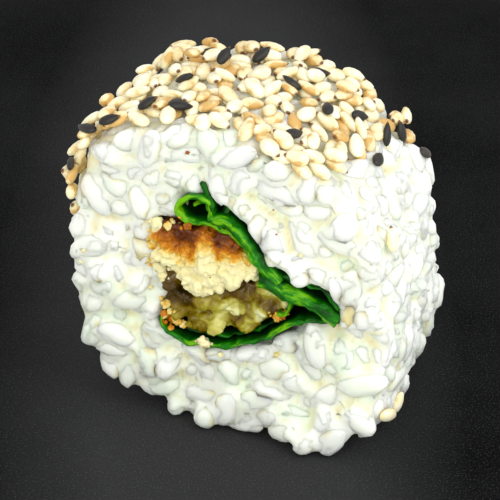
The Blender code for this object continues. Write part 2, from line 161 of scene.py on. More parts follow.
# %% Material helpers
def linear(hex_colour):
    """sRGB hex such as 'f4efe0' to a linear RGBA colour."""
    parts = [int(hex_colour[k:k + 2], 16) / 255 for k in (0, 2, 4)]
    return (*[p / 12.92 if p <= 0.04045 else ((p + 0.055) / 1.055) ** 2.4 for p in parts], 1.0)


def new_material(name):
    """A node material; returns it, its tree, its shader and its Object coordinates."""
    material = bpy.data.materials.new(name)
    material.use_nodes = True
    tree = material.node_tree
    place = add_node(tree, "ShaderNodeTexCoord").outputs["Object"]
    return material, tree, tree.nodes["Principled BSDF"], place


def add_node(tree, kind, settings=None, **links):
    """Add a node, set its properties and sockets, and link its inputs by name.

    In settings a key that is a socket's name sets its value, and any other key sets a
    property. Links give an input's name, with _ for a space, and the socket to link."""
    node = tree.nodes.new(kind)
    for key, value in (settings or {}).items():
        if isinstance(key, int) or key in node.inputs:
            node.inputs[key].default_value = value
        else:
            setattr(node, key, value)
    for key, socket in links.items():
        tree.links.new(socket, node.inputs[key.replace("_", " ")])
    return node


def colour_ramp(tree, factor, *stops):
    """A colour ramp over a factor; each stop is (position, hex colour)."""
    node = add_node(tree, "ShaderNodeValToRGB", Fac=factor)
    ramp = node.color_ramp
    while len(ramp.elements) < len(stops):
        ramp.elements.new(0.5)
    for element, (position, colour) in zip(ramp.elements, stops):
        element.position = position
        element.color = linear(colour)
    return node.outputs["Color"]


def noise_of(tree, place, waves, detail, **more):
    """Noise over a place, with its scale in waves a metre."""
    settings = {"Scale": waves, "Detail": detail, **more}
    return add_node(tree, "ShaderNodeTexNoise", settings, Vector=place).outputs["Fac"]


def attribute(tree, name):
    """A number that is stored on the piece's points."""
    return add_node(tree, "ShaderNodeAttribute", {"attribute_name": name}).outputs["Fac"]


def weighted(tree, value, weight, added=0.0):
    """value x weight + added; each is a socket or a number."""
    node = add_node(tree, "ShaderNodeMath", {"operation": "MULTIPLY_ADD"})
    for k, item in enumerate((value, weight, added)):
        if isinstance(item, bpy.types.NodeSocket):
            tree.links.new(item, node.inputs[k])
        else:
            node.inputs[k].default_value = item
    return node.outputs[0]


def stretched(tree, value, low, high, top=1.0):
    """A value from low to high, stretched to reach from 0 to top and clamped."""
    settings = {"From Min": low, "From Max": high, "To Max": top}
    return add_node(tree, "ShaderNodeMapRange", settings, Value=value).outputs["Result"]


def blended(tree, factor, colour, hex_colour):
    """A colour that a factor turns to a second one."""
    node = add_node(tree, "ShaderNodeMix", {"data_type": "RGBA", 7: linear(hex_colour)}, Factor=factor)
    tree.links.new(colour, node.inputs[6])
    return node.outputs[2]


def finish_shader(tree, shader, colour, bump, **inputs):
    """Link a colour and a bump (height socket, strength, depth in mm), and set other inputs."""
    height, strength, depth = bump
    settings = {"Strength": strength, "Distance": depth * MM}
    normal = add_node(tree, "ShaderNodeBump", settings, Height=height).outputs["Normal"]
    tree.links.new(colour, shader.inputs["Base Color"])
    tree.links.new(normal, shader.inputs["Normal"])
    for key, value in inputs.items():
        shader.inputs[key.replace("_", " ")].default_value = value

# %% [markdown]
# ## Camera
#
# A long lens under a quarter of a metre away keeps the slice's sides almost parallel, as in a
# close-up of food. The camera looks along the board's length, 31 degrees down.

# %% Place the camera
CAMERA_AIM = ROLL_TO_WORLD @ Vector((-1.9 * MM, -0.6 * MM, 18.2 * MM))
CAMERA_TILT = math.radians(31)
CAMERA_LENS = 135
CAMERA_DISTANCE = 223 * MM
camera_data = bpy.data.cameras.new("camera")
camera_data.lens = CAMERA_LENS
camera_data.clip_start = 10 * MM
camera = as_object("camera", camera_data)
camera_back = Vector((0, -math.cos(CAMERA_TILT), math.sin(CAMERA_TILT)))
camera.location = CAMERA_AIM + camera_back * CAMERA_DISTANCE
camera.rotation_euler = (-camera_back).to_track_quat("-Z", "Y").to_euler()
scene.camera = camera
print("camera at", tuple(round(1000 * v) for v in camera.location), "mm")

# %% [markdown]
# ## Packing the rice
#
# Cooked sushi rice is a mass of short grains that are pressed together until they touch
# on all sides. Scattering grains at random makes them cross each other, so they are packed
# instead: each grain is a chain of four balls, and the chains push each other apart, turn,
# and press against the roll's outer form and the hole until they settle. They pass both cut
# faces a little, for the knife to trim. The same seed gives the same packing each time.

# %% The hole for the fillings
HOLE_OUTLINE = (
    (13.6, 18.0), (11.6, 21.2), (8.2, 22.4), (5.6, 23.0), (4.2, 24.8), (2.6, 27.2),
    (0.6, 29.0), (-0.9, 30.4), (-2.0, 31.8), (-4.2, 32.2), (-6.3, 31.4), (-7.6, 29.2),
    (-9.4, 27.6), (-10.4, 25.2), (-10.4, 21.3), (-9.7, 18.0), (-9.6, 15.0), (-9.5, 12.6),
    (-8.0, 10.9), (-5.6, 10.0), (-2.0, 10.5), (0.8, 11.2), (4.5, 13.0), (7.3, 15.4),
    (9.2, 17.0), (11.6, 17.5),
)


def run_along(line):
    """Distance from a line's start to each of its points."""
    return np.concatenate([[0], np.cumsum(np.linalg.norm(np.diff(line, axis=0), axis=1))])


def smooth_curve(points, count, closed):
    """Evenly spaced points along a Catmull-Rom curve through points given in mm."""
    knots = np.array(points, float) * MM
    if closed:
        knots = np.vstack([knots[-1], knots, knots[:2]])
    else:
        knots = np.vstack([2 * knots[0] - knots[1], knots, 2 * knots[-1] - knots[-2]])
    t = np.linspace(0, 1, 24, endpoint=False)[:, None]
    spans = [0.5 * (2 * b + (c - a) * t + (2 * a - 5 * b + 4 * c - d) * t ** 2
                    + (3 * b - a - 3 * c + d) * t ** 3)
             for a, b, c, d in zip(knots, knots[1:], knots[2:], knots[3:])]
    line = np.vstack(spans + [knots[-2][None]])
    run = run_along(line)
    wanted = np.linspace(0, run[-1], count, endpoint=not closed)
    return np.stack([np.interp(wanted, run, line[:, k]) for k in (0, 1)], axis=-1)


def outline_distance(points, outline):
    """Distance of (x, z) points from a closed outline, negative inside, and the way out."""
    start, edge = outline, np.roll(outline, -1, axis=0) - outline
    to_point = points[:, None] - start[None]
    along = np.clip((to_point * edge).sum(-1) / (edge ** 2).sum(-1), 0, 1)
    away = to_point - along[..., None] * edge
    length = np.linalg.norm(away, axis=-1)
    nearest = length.argmin(axis=1)
    rows = np.arange(len(points))
    end = start + edge
    spans = (start[:, 1] > points[:, None, 1]) != (end[:, 1] > points[:, None, 1])
    rise = np.where(edge[:, 1] == 0, 1e-12, edge[:, 1])
    cross = start[:, 0] + (points[:, None, 1] - start[:, 1]) * edge[:, 0] / rise
    inside = (spans & (points[:, None, 0] < cross)).sum(axis=1) % 2 == 1
    sign = np.where(inside, -1.0, 1.0)
    out = away[rows, nearest] / np.maximum(length[rows, nearest], 1e-9)[:, None]
    return sign * length[rows, nearest], out * sign[:, None]


HOLE = smooth_curve(HOLE_OUTLINE, 64, closed=True)

# %% How far the rice may reach
# Reach past the section in mm, by the angle round its middle: less under the sesame
LEVEL_ANGLES = (-180, -140, -100, -60, -20, 30, 50, 58, 67, 75, 85, 100, 115, 134, 146, 165, 180)
LEVELS = (0.3, 0.0, 0.1, 0.4, 0.3, 0.1, -0.7, -1.1, -1.6, -1.1, -0.5, -0.6, -1.1, -1.8, -1.6, -0.5, 0.2)
# The slice sags forward at the lower right corner of its cut face
SAG_X = np.array([-10, -5, -3, 3, 8]) * MM
SAG = np.array([-0.8, -0.8, 0.6, 0.6, 2.0]) * MM
SAG_TOP = 8 * MM


def side_level(spot):
    """How far rice may reach past the section at (x, z) points."""
    angle = np.degrees(np.arctan2(spot[:, 1] - MIDDLE[1], spot[:, 0] - MIDDLE[0]))
    return np.interp(angle, LEVEL_ANGLES, LEVELS) * MM


def slice_end(x, y, z):
    """Distance of the cut face from the slice's middle; the front one sags at its foot."""
    foot = np.interp(x, SAG_X, SAG) * np.clip(1.3 - 1.3 * z / SAG_TOP, 0, 1)
    return HALF_THICK + np.where(y < 0, foot, 0)


# %% Settle the grains
BALL_PLACES = np.array([-1.7, -0.58, 0.58, 1.7]) * MM
BALL_RADII = np.array([1.06, 1.32, 1.32, 1.06]) * MM
GRAIN_COUNT, BATCH = 1100, 400
CLEAR_OF_SIDE, CLEAR_OF_HOLE = 1.5 * MM, 1.2 * MM
# Each grain stops short of the walls or passes them by its own slack, in mm
SLACK_SIDE, SLACK_HOLE = (-0.45, 0.35), (-0.5, 0.3)
# Touching balls end up at this share of their radii's sum, as soft grains give way
SQUEEZE = 0.86
# Pairs of grains that may touch are looked up every few steps
NEAR, NEAR_EVERY = 6.2 * MM, 10
SETTLE_STEPS = 120
BALL_SHARE, WALL_SHARE, MOVE_EASE = 0.45, 0.7, 2.2
OVER_CUT = 2.2 * MM
# At first all grains drift outwards, which fills the skin of the roll
DRIFT, DRIFT_STEPS = 0.02 * MM, 90
SHOWN_DEPTH = (-0.35 * MM, 5.0 * MM)


def chain_balls(centre, way):
    """The four balls of each grain, as an array of grain by ball by axis."""
    return centre[:, None] + way[:, None] * BALL_PLACES[:, None]


def start_grains(draw):
    """Random centres in the rice ring, with random directions."""
    centres = []
    while len(centres) < GRAIN_COUNT:
        x = draw.uniform(LEFT, RIGHT, BATCH)
        z = draw.uniform(0, HEIGHT, BATCH)
        spot = np.stack([x, z], axis=1)
        clear = outline_distance(spot, HOLE)[0] > CLEAR_OF_HOLE
        inside = (section_distance(spot) < -CLEAR_OF_SIDE) & clear
        y = draw.uniform(-1, 1, BATCH) * (HALF_THICK + OVER_CUT)
        centres.extend(np.stack([x, y, z], axis=1)[inside])
    ways = draw.normal(size=(GRAIN_COUNT, 3))
    return np.array(centres[:GRAIN_COUNT]), ways / np.linalg.norm(ways, axis=1)[:, None]


def wall_pushes(balls, radii, slack_side, slack_hole):
    """How far each ball is moved by the outer form, the ends, the hole and the board."""
    flat = balls.reshape(-1, 3)
    radius = np.tile(radii, len(balls))
    spot = flat[:, [0, 2]]
    push = np.zeros_like(flat)
    over = section_distance(spot) + radius - np.repeat(slack_side, 4) - side_level(spot)
    normal = section_normal(spot)
    deep = np.maximum(over, 0)[:, None] * normal
    push[:, [0, 2]] -= deep
    clear, out = outline_distance(spot, HOLE)
    inward = np.maximum(radius + np.repeat(slack_hole, 4) - clear, 0)[:, None] * out
    push[:, [0, 2]] += inward
    past = np.abs(flat[:, 1]) - HALF_THICK - OVER_CUT
    push[:, 1] -= np.sign(flat[:, 1]) * np.maximum(past, 0)
    push[:, 2] += np.maximum(radius - flat[:, 2], 0)
    return push.reshape(balls.shape)


def settle_grains(seed):
    """Push, turn and press the chains of balls until they lie together."""
    draw = np.random.default_rng(seed)
    centre, way = start_grains(draw)
    slack_side = draw.uniform(*SLACK_SIDE, GRAIN_COUNT) * MM
    slack_hole = draw.uniform(*SLACK_HOLE, GRAIN_COUNT) * MM
    turn_ease = 0.5 / (BALL_PLACES ** 2).sum()
    for step in range(SETTLE_STEPS):
        if step % NEAR_EVERY == 0:
            apart = np.linalg.norm(centre[:, None] - centre[None], axis=-1)
            first, second = np.where(np.triu(apart < NEAR, 1))
        balls = chain_balls(centre, way)
        gap = balls[first][:, :, None] - balls[second][:, None]
        length = np.linalg.norm(gap, axis=-1)
        reach = SQUEEZE * (BALL_RADII[:, None] + BALL_RADII[None])
        push = gap * (np.maximum(reach - length, 0) / np.maximum(length, 1e-9))[..., None] * 0.5
        on_ball = np.zeros_like(balls)
        for k in range(3):
            on_ball[..., k] += np.stack([
                np.bincount(first, push[..., k].sum(2)[:, j], GRAIN_COUNT)
                - np.bincount(second, push[..., k].sum(1)[:, j], GRAIN_COUNT)
                for j in range(4)], axis=1)
        on_ball *= BALL_SHARE
        on_ball += WALL_SHARE * wall_pushes(balls, BALL_RADII, slack_side, slack_hole)
        centre += on_ball.sum(axis=1) / MOVE_EASE
        twist = np.cross(way[:, None] * BALL_PLACES[:, None], on_ball).sum(axis=1)
        way += np.cross(twist * turn_ease, way)
        way /= np.linalg.norm(way, axis=1)[:, None]
        if step < DRIFT_STEPS:
            centre[:, [0, 2]] += section_normal(centre[:, [0, 2]]) * DRIFT
    return centre, way


grain_centre, grain_way = settle_grains(seed=7)
depth = np.minimum(-section_distance(grain_centre[:, [0, 2]]),
                   slice_end(*grain_centre.T) - np.abs(grain_centre[:, 1]))
shown = (depth < SHOWN_DEPTH[1]) & (depth > SHOWN_DEPTH[0])
grain_centre, grain_way = grain_centre[shown], grain_way[shown]
print(f"rice: {len(grain_centre)} grains near the surface")

# %% [markdown]
# ## Rice grains
#
# A cooked short grain is plump and a little bent, with a dent at one end where the germ
# was. A few grains are shaped from a small ball with bmesh, and copied with small changes
# of size and turn. Grains that the knife met are pressed flat at the cut, each at a level
# of its own, since a wet blade drags some out and leaves others behind.

# %% Shape and place the grains
GRAIN_SIZE = Vector((3.1, 2.8, 5.8)) * MM
GRAIN_VARIANTS = 8
# Form of a grain of unit length: blunt ends, lumps, the germ's dent, and flats where others press
BLUNT, LUMP, GERM_DENT = 0.32, 0.2, 0.10
FACETS, FACET_REACH, FACET_PRESS = 7, (0.36, 0.43), 0.85
# What passes the knife or the board keeps this share of its reach
CUT_GIVE, BOARD_GIVE = 0.3, 0.1
# This share of the grains is short, like broken ones
SHORT_SHARE, SHORT_LENGTH = 0.25, 0.78
GRAIN_SPREAD, CUT_SPREAD = (0.9, 1.12), (-0.5, 0.5)
LOOSE_REACH = 1.0 * MM
draw = np.random.default_rng(11)


def rice_grain(number):
    """One plump, slightly bent grain about the origin, pressed flat where others touch it."""
    shape = bmesh.new()
    bmesh.ops.create_uvsphere(shape, u_segments=12, v_segments=9, radius=0.5)
    bend = 0.05 + 0.05 * (number % 3)
    for vert in shape.verts:
        x, y, z = vert.co
        blunt = 1 + BLUNT * (2 * z) ** 2 * (1 - (2 * z) ** 2)
        lump = 1 + LUMP * noise.noise(Vector((x, y, z)) * 3.0 + Vector((number, 0, 0)))
        vert.co = Vector((x * blunt * lump + bend * (4 * z * z - 0.4), y * blunt * lump, z))
        if z > 0.3 and y > 0:
            vert.co.y -= GERM_DENT
    for _ in range(FACETS):
        way = Vector(draw.normal(size=3) * [1, 1, 0.6]).normalized()
        reach = draw.uniform(*FACET_REACH)
        for vert in shape.verts:
            past = vert.co.dot(way) - reach
            if past > 0:
                vert.co -= FACET_PRESS * past * way
    return shape


def stamp(target, source, matrix, marks):
    """Copy one small bmesh into another at a matrix, marked; returns the new points."""
    layers = [target.verts.layers.float.get(name) or target.verts.layers.float.new(name)
              for name in marks]
    copies = []
    for vert in source.verts:
        copy = target.verts.new(matrix @ vert.co)
        for layer, value in zip(layers, marks.values()):
            copy[layer] = value(vert.co) if callable(value) else value
        copies.append(copy)
    for face in source.faces:
        target.faces.new([copies[vert.index] for vert in face.verts])
    return copies


def pose(centre, along, up, size):
    """Matrix that lays a unit piece: size along its side, up and length directions."""
    along = Vector(along).normalized()
    side = Vector(up).cross(along).normalized()
    turned = Matrix((side * size[0], along.cross(side) * size[1], along * size[2])).transposed()
    return Matrix.Translation(Vector(centre)) @ turned.to_4x4()


def lay_grains(scale):
    """All packed grains in one bmesh, each with a tone of its own."""
    rice = bmesh.new()
    shapes = [rice_grain(k) for k in range(GRAIN_VARIANTS)]
    for shape in shapes:
        shape.verts.ensure_lookup_table()
        shape.verts.index_update()
    for k, (centre, way) in enumerate(zip(grain_centre, grain_way)):
        size = Vector([a * b for a, b in zip(GRAIN_SIZE * scale, grain_scale[k])])
        matrix = pose(centre, way, grain_up[k], size)
        points = stamp(rice, shapes[k % GRAIN_VARIANTS], matrix, {"tone": grain_tone[k]})
        press_flat(points, cut_level[k])
    for shape in shapes:
        shape.free()
    return rice


# Grains that hang into the hole: place in mm, direction, size, tone
LOOSE_GRAINS = (
    ((-8.8, -10.2, 29.3), (1.0, -0.2, 0.75), 0.82, 0.5), ((-7.3, -9.2, 27.9), (0.5, -0.3, 1.0), 0.7, 0.1),
    ((-10.9, -10.8, 25.6), (0.3, 0.1, 1.0), 0.8, 0.9), ((-11.3, -11.0, 22.6), (-0.5, 0.2, 1.0), 0.8, 0.6),
    ((-9.4, -9.0, 20.2), (0.2, 0.9, 0.6), 0.8, 0.3), ((-9.6, -9.4, 17.2), (0.1, 0.5, 1.0), 0.8, 0.2),
    ((-5.2, -10.0, 32.6), (0.5, -0.3, -0.9), 0.95, 0.3),
    ((-1.9, -10.6, 32.6), (0.4, -0.3, -1.0), 0.95, 0.4),
    ((0.0, -10.8, 30.9), (0.9, -0.4, -0.8), 0.8, 0.1), ((1.7, -10.6, 29.4), (0.4, 0.8, -0.6), 0.8, 0.3),
    ((3.4, -10.8, 27.4), (0.7, 0.2, -1.0), 0.85, 0.6), ((4.9, -10.9, 25.4), (-0.2, 0.8, 0.5), 0.85, 0.0),
    ((6.5, -10.8, 24.2), (1.0, 0.3, -0.3), 0.8, 0.1), ((8.6, -11.0, 23.2), (0.5, 0.9, 0.2), 0.85, 0.7),
    ((10.6, -10.9, 22.9), (1.0, 0.2, -0.5), 0.85, 0.4),
    ((12.5, -11.0, 21.6), (0.3, 0.5, -1.0), 0.85, 0.8),
    ((13.9, -11.0, 19.6), (0.2, 0.3, 1.0), 0.85, 0.5), ((-6.6, -9.6, 31.3), (0.8, 0.3, 0.5), 0.9, 0.4),
    ((-9.3, -9.4, 28.6), (0.4, 0.2, 1.0), 0.85, 0.7), ((6.9, -10.3, 13.5), (1.0, 0.4, 0.3), 0.85, 0.3),
    ((-10.3, -10.0, 14.9), (0.2, 0.6, 1.0), 0.85, 0.6),
    ((-9.4, -10.3, 11.0), (0.9, 0.5, -0.5), 0.85, 0.2),
    ((2.4, -10.5, 10.8), (1.0, 0.2, 0.3), 0.85, 0.8), ((-1.4, -10.4, 9.9), (1.0, 0.4, 0.1), 0.85, 0.3),
    ((-4.6, -10.6, 9.4), (1.0, -0.1, -0.1), 0.85, 0.5), ((-7.9, -10.2, 28.3), (1.0, 0.2, 0.4), 0.75, 0.5),
)


def press_flat(verts, level):
    """Flatten what passes the knife's level at either cut face, and the board below."""
    for vert in verts:
        past = abs(vert.co.y) - level
        if past > 0:
            vert.co.y -= math.copysign(past * (1 - CUT_GIVE), vert.co.y)
        if vert.co.z < 0:
            vert.co.z *= BOARD_GIVE


def knife_level(place, own):
    """Distance of the cut from the slice's middle: long waves and a share of its own."""
    wave = noise.noise(Vector(place) / (7 * MM)) + 0.5 * noise.noise(Vector(place) / (3.5 * MM))
    return slice_end(*place) + (0.8 * wave + own) * MM


loose_place, loose_way, loose_size, loose_tone = [np.array(part) for part in zip(*LOOSE_GRAINS)]
packed = len(grain_centre)
grain_centre = np.vstack([grain_centre, loose_place * MM])
grain_way = np.vstack([grain_way, loose_way / np.linalg.norm(loose_way, axis=1)[:, None]])
grain_scale = draw.uniform(*GRAIN_SPREAD, (len(grain_centre), 3))
grain_scale[:, 2] *= np.where(draw.uniform(size=len(grain_centre)) < SHORT_SHARE, SHORT_LENGTH, 1.0)
grain_scale[packed:] = loose_size[:, None]
cut_level = [knife_level(place, own) for place, own
             in zip(grain_centre, draw.uniform(*CUT_SPREAD, len(grain_centre)))]
cut_level[packed:] = [HALF_THICK + LOOSE_REACH] * len(loose_size)
grain_up = draw.normal(size=(len(grain_centre), 3))
grain_tone = draw.uniform(0, 1, len(grain_centre))
grain_tone[packed:] = loose_tone
print(f"{len(grain_centre)} grains, {len(loose_tone)} of them loose at the hole")
# %% [markdown]
# ### Cooked rice as a material
#
# Boiled, vinegared rice is starch gel: white, moist, and so translucent that light spreads
# almost two millimetres inside it. Subsurface scattering gives that glow, and a medium
# roughness gives soft, moist highlights. Some grains stay clearer, and crevices and the
# places where grains meet are painted a warm shade.

# %% Rice material
def cooked_rice():
    """Boiled short-grain rice: starch gel with a moist skin, and a painted warm shade in its crevices."""
    material, tree, shader, place = new_material("cooked rice, moist")
    tone = weighted(tree, noise_of(tree, place, 420, 3), 0.5, attribute(tree, "tone"))
    colour = colour_ramp(tree, tone, (0.15, "e6f3de"), (0.7, "f7fdea"), (1.0, "fafdee"))
    # Crevices and the places where grains meet are painted a warm shade
    crevice_shaded = blended(tree, attribute(tree, "crevice_shade"), colour, "e0cc90")
    pits = noise_of(tree, place, 1100, 4, Roughness=0.6)
    finish_shader(tree, shader, crevice_shaded, (pits, 0.3, 0.14), Roughness=0.44, IOR=1.36,
                  Subsurface_Weight=0.8, Subsurface_Radius=(1.0, 1.0, 0.85), Subsurface_Scale=1.8 * MM)
    return material


rice_white = cooked_rice()

# %% [markdown]
# ### The sticky mass between the grains
#
# The grains of sushi rice don't lie loose: a paste of starch fills the gaps between them.
# It is made from grains in the same places, swollen by half a millimetre, with a solid
# ring under them. A voxel remesh melts them into one skin, which is shrunk back by as
# much. That closes the narrow gaps and leaves the wide ones, and noise roughens the skin.

# %% Helpers for melted shapes
def roughen(shape, *octaves):
    """Push points along their normals by noise; each octave is (size mm, height mm)."""
    shape.normal_update()
    for vert in shape.verts:
        push = sum(height * noise.noise(vert.co / (size * MM)) for size, height in octaves)
        vert.co += vert.normal * push * MM


def thicken(shape, depth):
    """Extrude a flat bmesh along Y into a closed body."""
    raised = bmesh.ops.extrude_face_region(shape, geom=shape.faces[:], use_keep_orig=True)
    moved = [item for item in raised["geom"] if isinstance(item, bmesh.types.BMVert)]
    bmesh.ops.translate(shape, verts=moved, vec=(0, depth, 0))
    bmesh.ops.recalc_face_normals(shape, faces=shape.faces[:])


def join_bmesh(target, source):
    """Add a bmesh's geometry to another through a short-lived mesh."""
    carrier = as_mesh("carrier", source)
    target.from_mesh(carrier)
    bpy.data.meshes.remove(carrier)


def melted(shape, voxel, smooth_rounds):
    """Voxel remesh a bmesh of overlapping bodies into one skin and smooth it."""
    mesh = as_mesh("melting", shape)
    item = as_object("melting", mesh)
    remesh = item.modifiers.new("melt", "REMESH")
    remesh.mode = "VOXEL"
    remesh.voxel_size = voxel
    bpy.context.view_layer.update()
    skin = bpy.data.meshes.new_from_object(item.evaluated_get(bpy.context.evaluated_depsgraph_get()))
    result = bmesh.new()
    result.from_mesh(skin)
    bpy.data.objects.remove(item, do_unlink=True)
    bpy.data.meshes.remove(mesh)
    bpy.data.meshes.remove(skin)
    for _ in range(smooth_rounds):
        bmesh.ops.smooth_vert(result, verts=result.verts, factor=0.5,
                              use_axis_x=True, use_axis_y=True, use_axis_z=True)
    return result


def swollen(shape, reach):
    """Move all points of a bmesh outwards along their normals."""
    bmesh.ops.recalc_face_normals(shape, faces=shape.faces[:])
    shape.normal_update()
    for vert in shape.verts:
        vert.co += vert.normal * reach
    return shape


def search_tree(points):
    """A search tree over a list of points."""
    tree = kdtree.KDTree(len(points))
    for k, point in enumerate(points):
        tree.insert(point, k)
    tree.balance()
    return tree


# %% Rice paste under the grains
PASTE_VOXEL = 0.36 * MM
CLOSED_BY = 0.55 * MM
SHRUNK_MORE = 0.02 * MM
CORE_INSET, CORE_STEPS = 1.3 * MM, 72
# Paste far from the grains and deep under the surface, and grain points near other grains, get a painted
# warm shade
CREVICE_SHADE_FROM, CREVICE_SHADE_RANGE, CREVICE_SHADE_DEPTH = 1.35 * MM, 0.5 * MM, 3 * MM
CONTACT_SHADE_FROM, CONTACT_SHADE_RANGE = 1.5 * MM, 0.6 * MM
PASTE_SCALE = 0.99


def ring_core(inset):
    """A closed ring of the section with the hole, inset from all its surfaces."""
    core = bmesh.new()
    outer = [section_point(math.tau * k / CORE_STEPS, inset) for k in range(CORE_STEPS)]
    run = np.roll(HOLE, -1, axis=0) - np.roll(HOLE, 1, axis=0)
    side = np.stack([-run[:, 1], run[:, 0]], axis=1) / np.linalg.norm(run, axis=1)[:, None]
    outward = outline_distance(HOLE + side * 0.1 * MM, HOLE)[0].mean() > 0
    wide = HOLE + side * inset * (1 if outward else -1)
    hole_angle = np.array([math.atan2(z - MIDDLE[1], x - MIDDLE[0]) for x, z in wide])
    hole = np.roll(wide, -int(np.argmin(hole_angle % math.tau)), axis=0)
    edges = []
    for points in (outer, hole):
        verts = [core.verts.new((x, -(HALF_THICK - inset), z)) for x, z in points]
        edges += [core.edges.new((a, b)) for a, b in zip(verts, verts[1:] + verts[:1])]
    bmesh.ops.bridge_loops(core, edges=edges)
    thicken(core, 2 * (HALF_THICK - inset))
    return core


def mark_contact_shade(grains, tree):
    """Store on each grain's points how close the next grain is, as a share of painted shade."""
    grains.verts.index_update()
    per_grain = len(grains.verts) // len(grain_centre)

    def contact_shade(vert):
        own = vert.index // per_grain
        others = [away for _, k, away in tree.find_n(vert.co, 9) if k // 4 != own]
        return clamped((CONTACT_SHADE_FROM - min(others, default=1)) / CONTACT_SHADE_RANGE)

    mark(grains, "crevice_shade", contact_shade)


def painted_crevice_shade(vert):
    """How far a point of the paste lies outside the grains and under the surface, as a share of painted
    shade.
    """
    filled = (grain_tree.find(vert.co)[2] - CREVICE_SHADE_FROM) / CREVICE_SHADE_RANGE
    deep = min(HALF_THICK - abs(vert.co.y), -section_distance(vert.co.xz)[0]) / CREVICE_SHADE_DEPTH
    return clamped(0.6 * filled + 0.5 * deep)


grain_balls = chain_balls(grain_centre, grain_way).reshape(-1, 3)
grain_tree = search_tree(grain_balls)
rice_grains = lay_grains(1.0)
# Points of grains near other grains get a painted warm shade
mark_contact_shade(rice_grains, grain_tree)
paste_shape = swollen(lay_grains(PASTE_SCALE), CLOSED_BY)
join_bmesh(paste_shape, ring_core(CORE_INSET))
rice_skin = swollen(melted(paste_shape, PASTE_VOXEL, 2), -CLOSED_BY - SHRUNK_MORE)
roughen(rice_skin, (1.6, 0.18), (0.7, 0.08))
# The paste gets a painted warm shade in its crevices and deep under the surface
mark(rice_skin, "crevice_shade", painted_crevice_shade)
mark(rice_skin, "tone", lambda vert: grain_tone[grain_tree.find(vert.co)[1] // 4])
finish_piece("rice_grains", rice_grains, rice_white, ["rice"])
rice_surface = bvhtree.BVHTree.FromBMesh(rice_skin)
finish_piece("rice_paste", rice_skin, rice_white, ["rice"])

# %% [markdown]
# ## Sesame seeds
#
# Seeds are thrown on the sticky rice and pressed in, so each lies flat on what is under
# it and tilts with it. The top of the roll is unrolled to a flat map of heights, first
# from the rice and then from the seeds that already lie there. Each new seed tries a few
# places and takes the lowest, which fills the hollows first, as shaking does.

# %% Unroll the top of the roll
MAP_ANGLES = np.linspace(math.radians(-52), math.radians(186), 600)
MAP_LINE = np.array([section_point(angle) for angle in MAP_ANGLES])
MAP_RUN = run_along(MAP_LINE)
MAP_MARGIN = 1.1 * HALF_THICK
CELL = 0.2 * MM
PASTE_LEVEL = -1.1 * MM
GRAIN_OVER_BALL = 1.08


def along_section(angle):
    """Distance along the section's outline to an angle round its middle."""
    return np.interp(angle, MAP_ANGLES, MAP_RUN)


def height_map():
    """Height of the rice over the section's outline, on a grid of run and depth."""
    cells = (int(MAP_RUN[-1] / CELL) + 1, int(2 * MAP_MARGIN / CELL) + 1)
    heights = np.full(cells, PASTE_LEVEL)
    radii = np.tile(BALL_RADII * GRAIN_OVER_BALL, len(grain_centre))
    level = section_distance(grain_balls[:, [0, 2]])
    angle = np.arctan2(grain_balls[:, 2] - MIDDLE[1], grain_balls[:, 0] - MIDDLE[0])
    angle = np.where(angle < MAP_ANGLES[0], angle + math.tau, angle)
    run = along_section(angle)
    for u, v, h, radius in zip(run, grain_balls[:, 1] + MAP_MARGIN, level, radii):
        if h + radius > PASTE_LEVEL:
            raise_map(heights, u, v, radius,
                      lambda a, b: h + np.sqrt(np.maximum(radius ** 2 - a ** 2 - b ** 2, 0)))
    return heights


def raise_map(heights, u, v, radius, top):
    """Raise the cells within a radius of (u, v) to at least the height that top gives."""
    i0, i1 = max(int((u - radius) / CELL), 0), min(int((u + radius) / CELL) + 2, heights.shape[0])
    j0, j1 = max(int((v - radius) / CELL), 0), min(int((v + radius) / CELL) + 2, heights.shape[1])
    if i0 >= i1 or j0 >= j1:
        return
    a = (np.arange(i0, i1) * CELL - u)[:, None]
    b = (np.arange(j0, j1) * CELL - v)[None]
    inside = a ** 2 + b ** 2 < radius ** 2
    window = heights[i0:i1, j0:j1]
    window[...] = np.where(inside, np.maximum(window, top(a, b)), window)


seed_map = height_map()
print("rice height under the seeds, mm:", np.round(np.percentile(seed_map, (5, 50, 95)) * 1000, 2))

# %% [markdown]
# ### Laying one seed
#
# A seed rests on the highest points under its outline. Its slope comes from the heights
# under its ends and sides, and its own top is then added to the map for the next one.

# %% Lay seeds on the map
SEED_SIZE = np.array([2.0, 1.2, 3.2]) * MM
PRESSED_IN = 0.2 * MM
FOOT_A, FOOT_B = [grid.ravel() for grid in np.meshgrid(np.linspace(-0.42, 0.42, 5), (-0.3, 0, 0.3))]
FOOT_EDGE = np.sqrt(np.maximum(1 - (2 * FOOT_A) ** 2 - (2 * FOOT_B) ** 2, 0.02))


def lean(under, foot, width, limit):
    """Slope of the heights under a seed's foot, from one side to the other."""
    rise = under[foot > 0.1].mean() - under[foot < -0.1].mean()
    return np.clip(rise / (0.6 * width), -limit, limit)


def rest_of_seed(u, v, turn, size):
    """Height of the seed's middle and its two slopes where it comes to rest."""
    along, across = FOOT_A * size[2], FOOT_B * size[0]
    run = u + along * math.cos(turn) - across * math.sin(turn)
    deep = v + along * math.sin(turn) + across * math.cos(turn)
    i = np.clip(np.rint(run / CELL).astype(int), 0, seed_map.shape[0] - 1)
    j = np.clip(np.rint((deep + MAP_MARGIN) / CELL).astype(int), 0, seed_map.shape[1] - 1)
    under = seed_map[i, j]
    lean_a, lean_b = lean(under, FOOT_A, size[2], 0.6), lean(under, FOOT_B, size[0], 0.5)
    clear = under - along * lean_a - across * lean_b + size[1] / 2 * FOOT_EDGE
    return np.partition(clear, -2)[-2] - PRESSED_IN, lean_a, lean_b


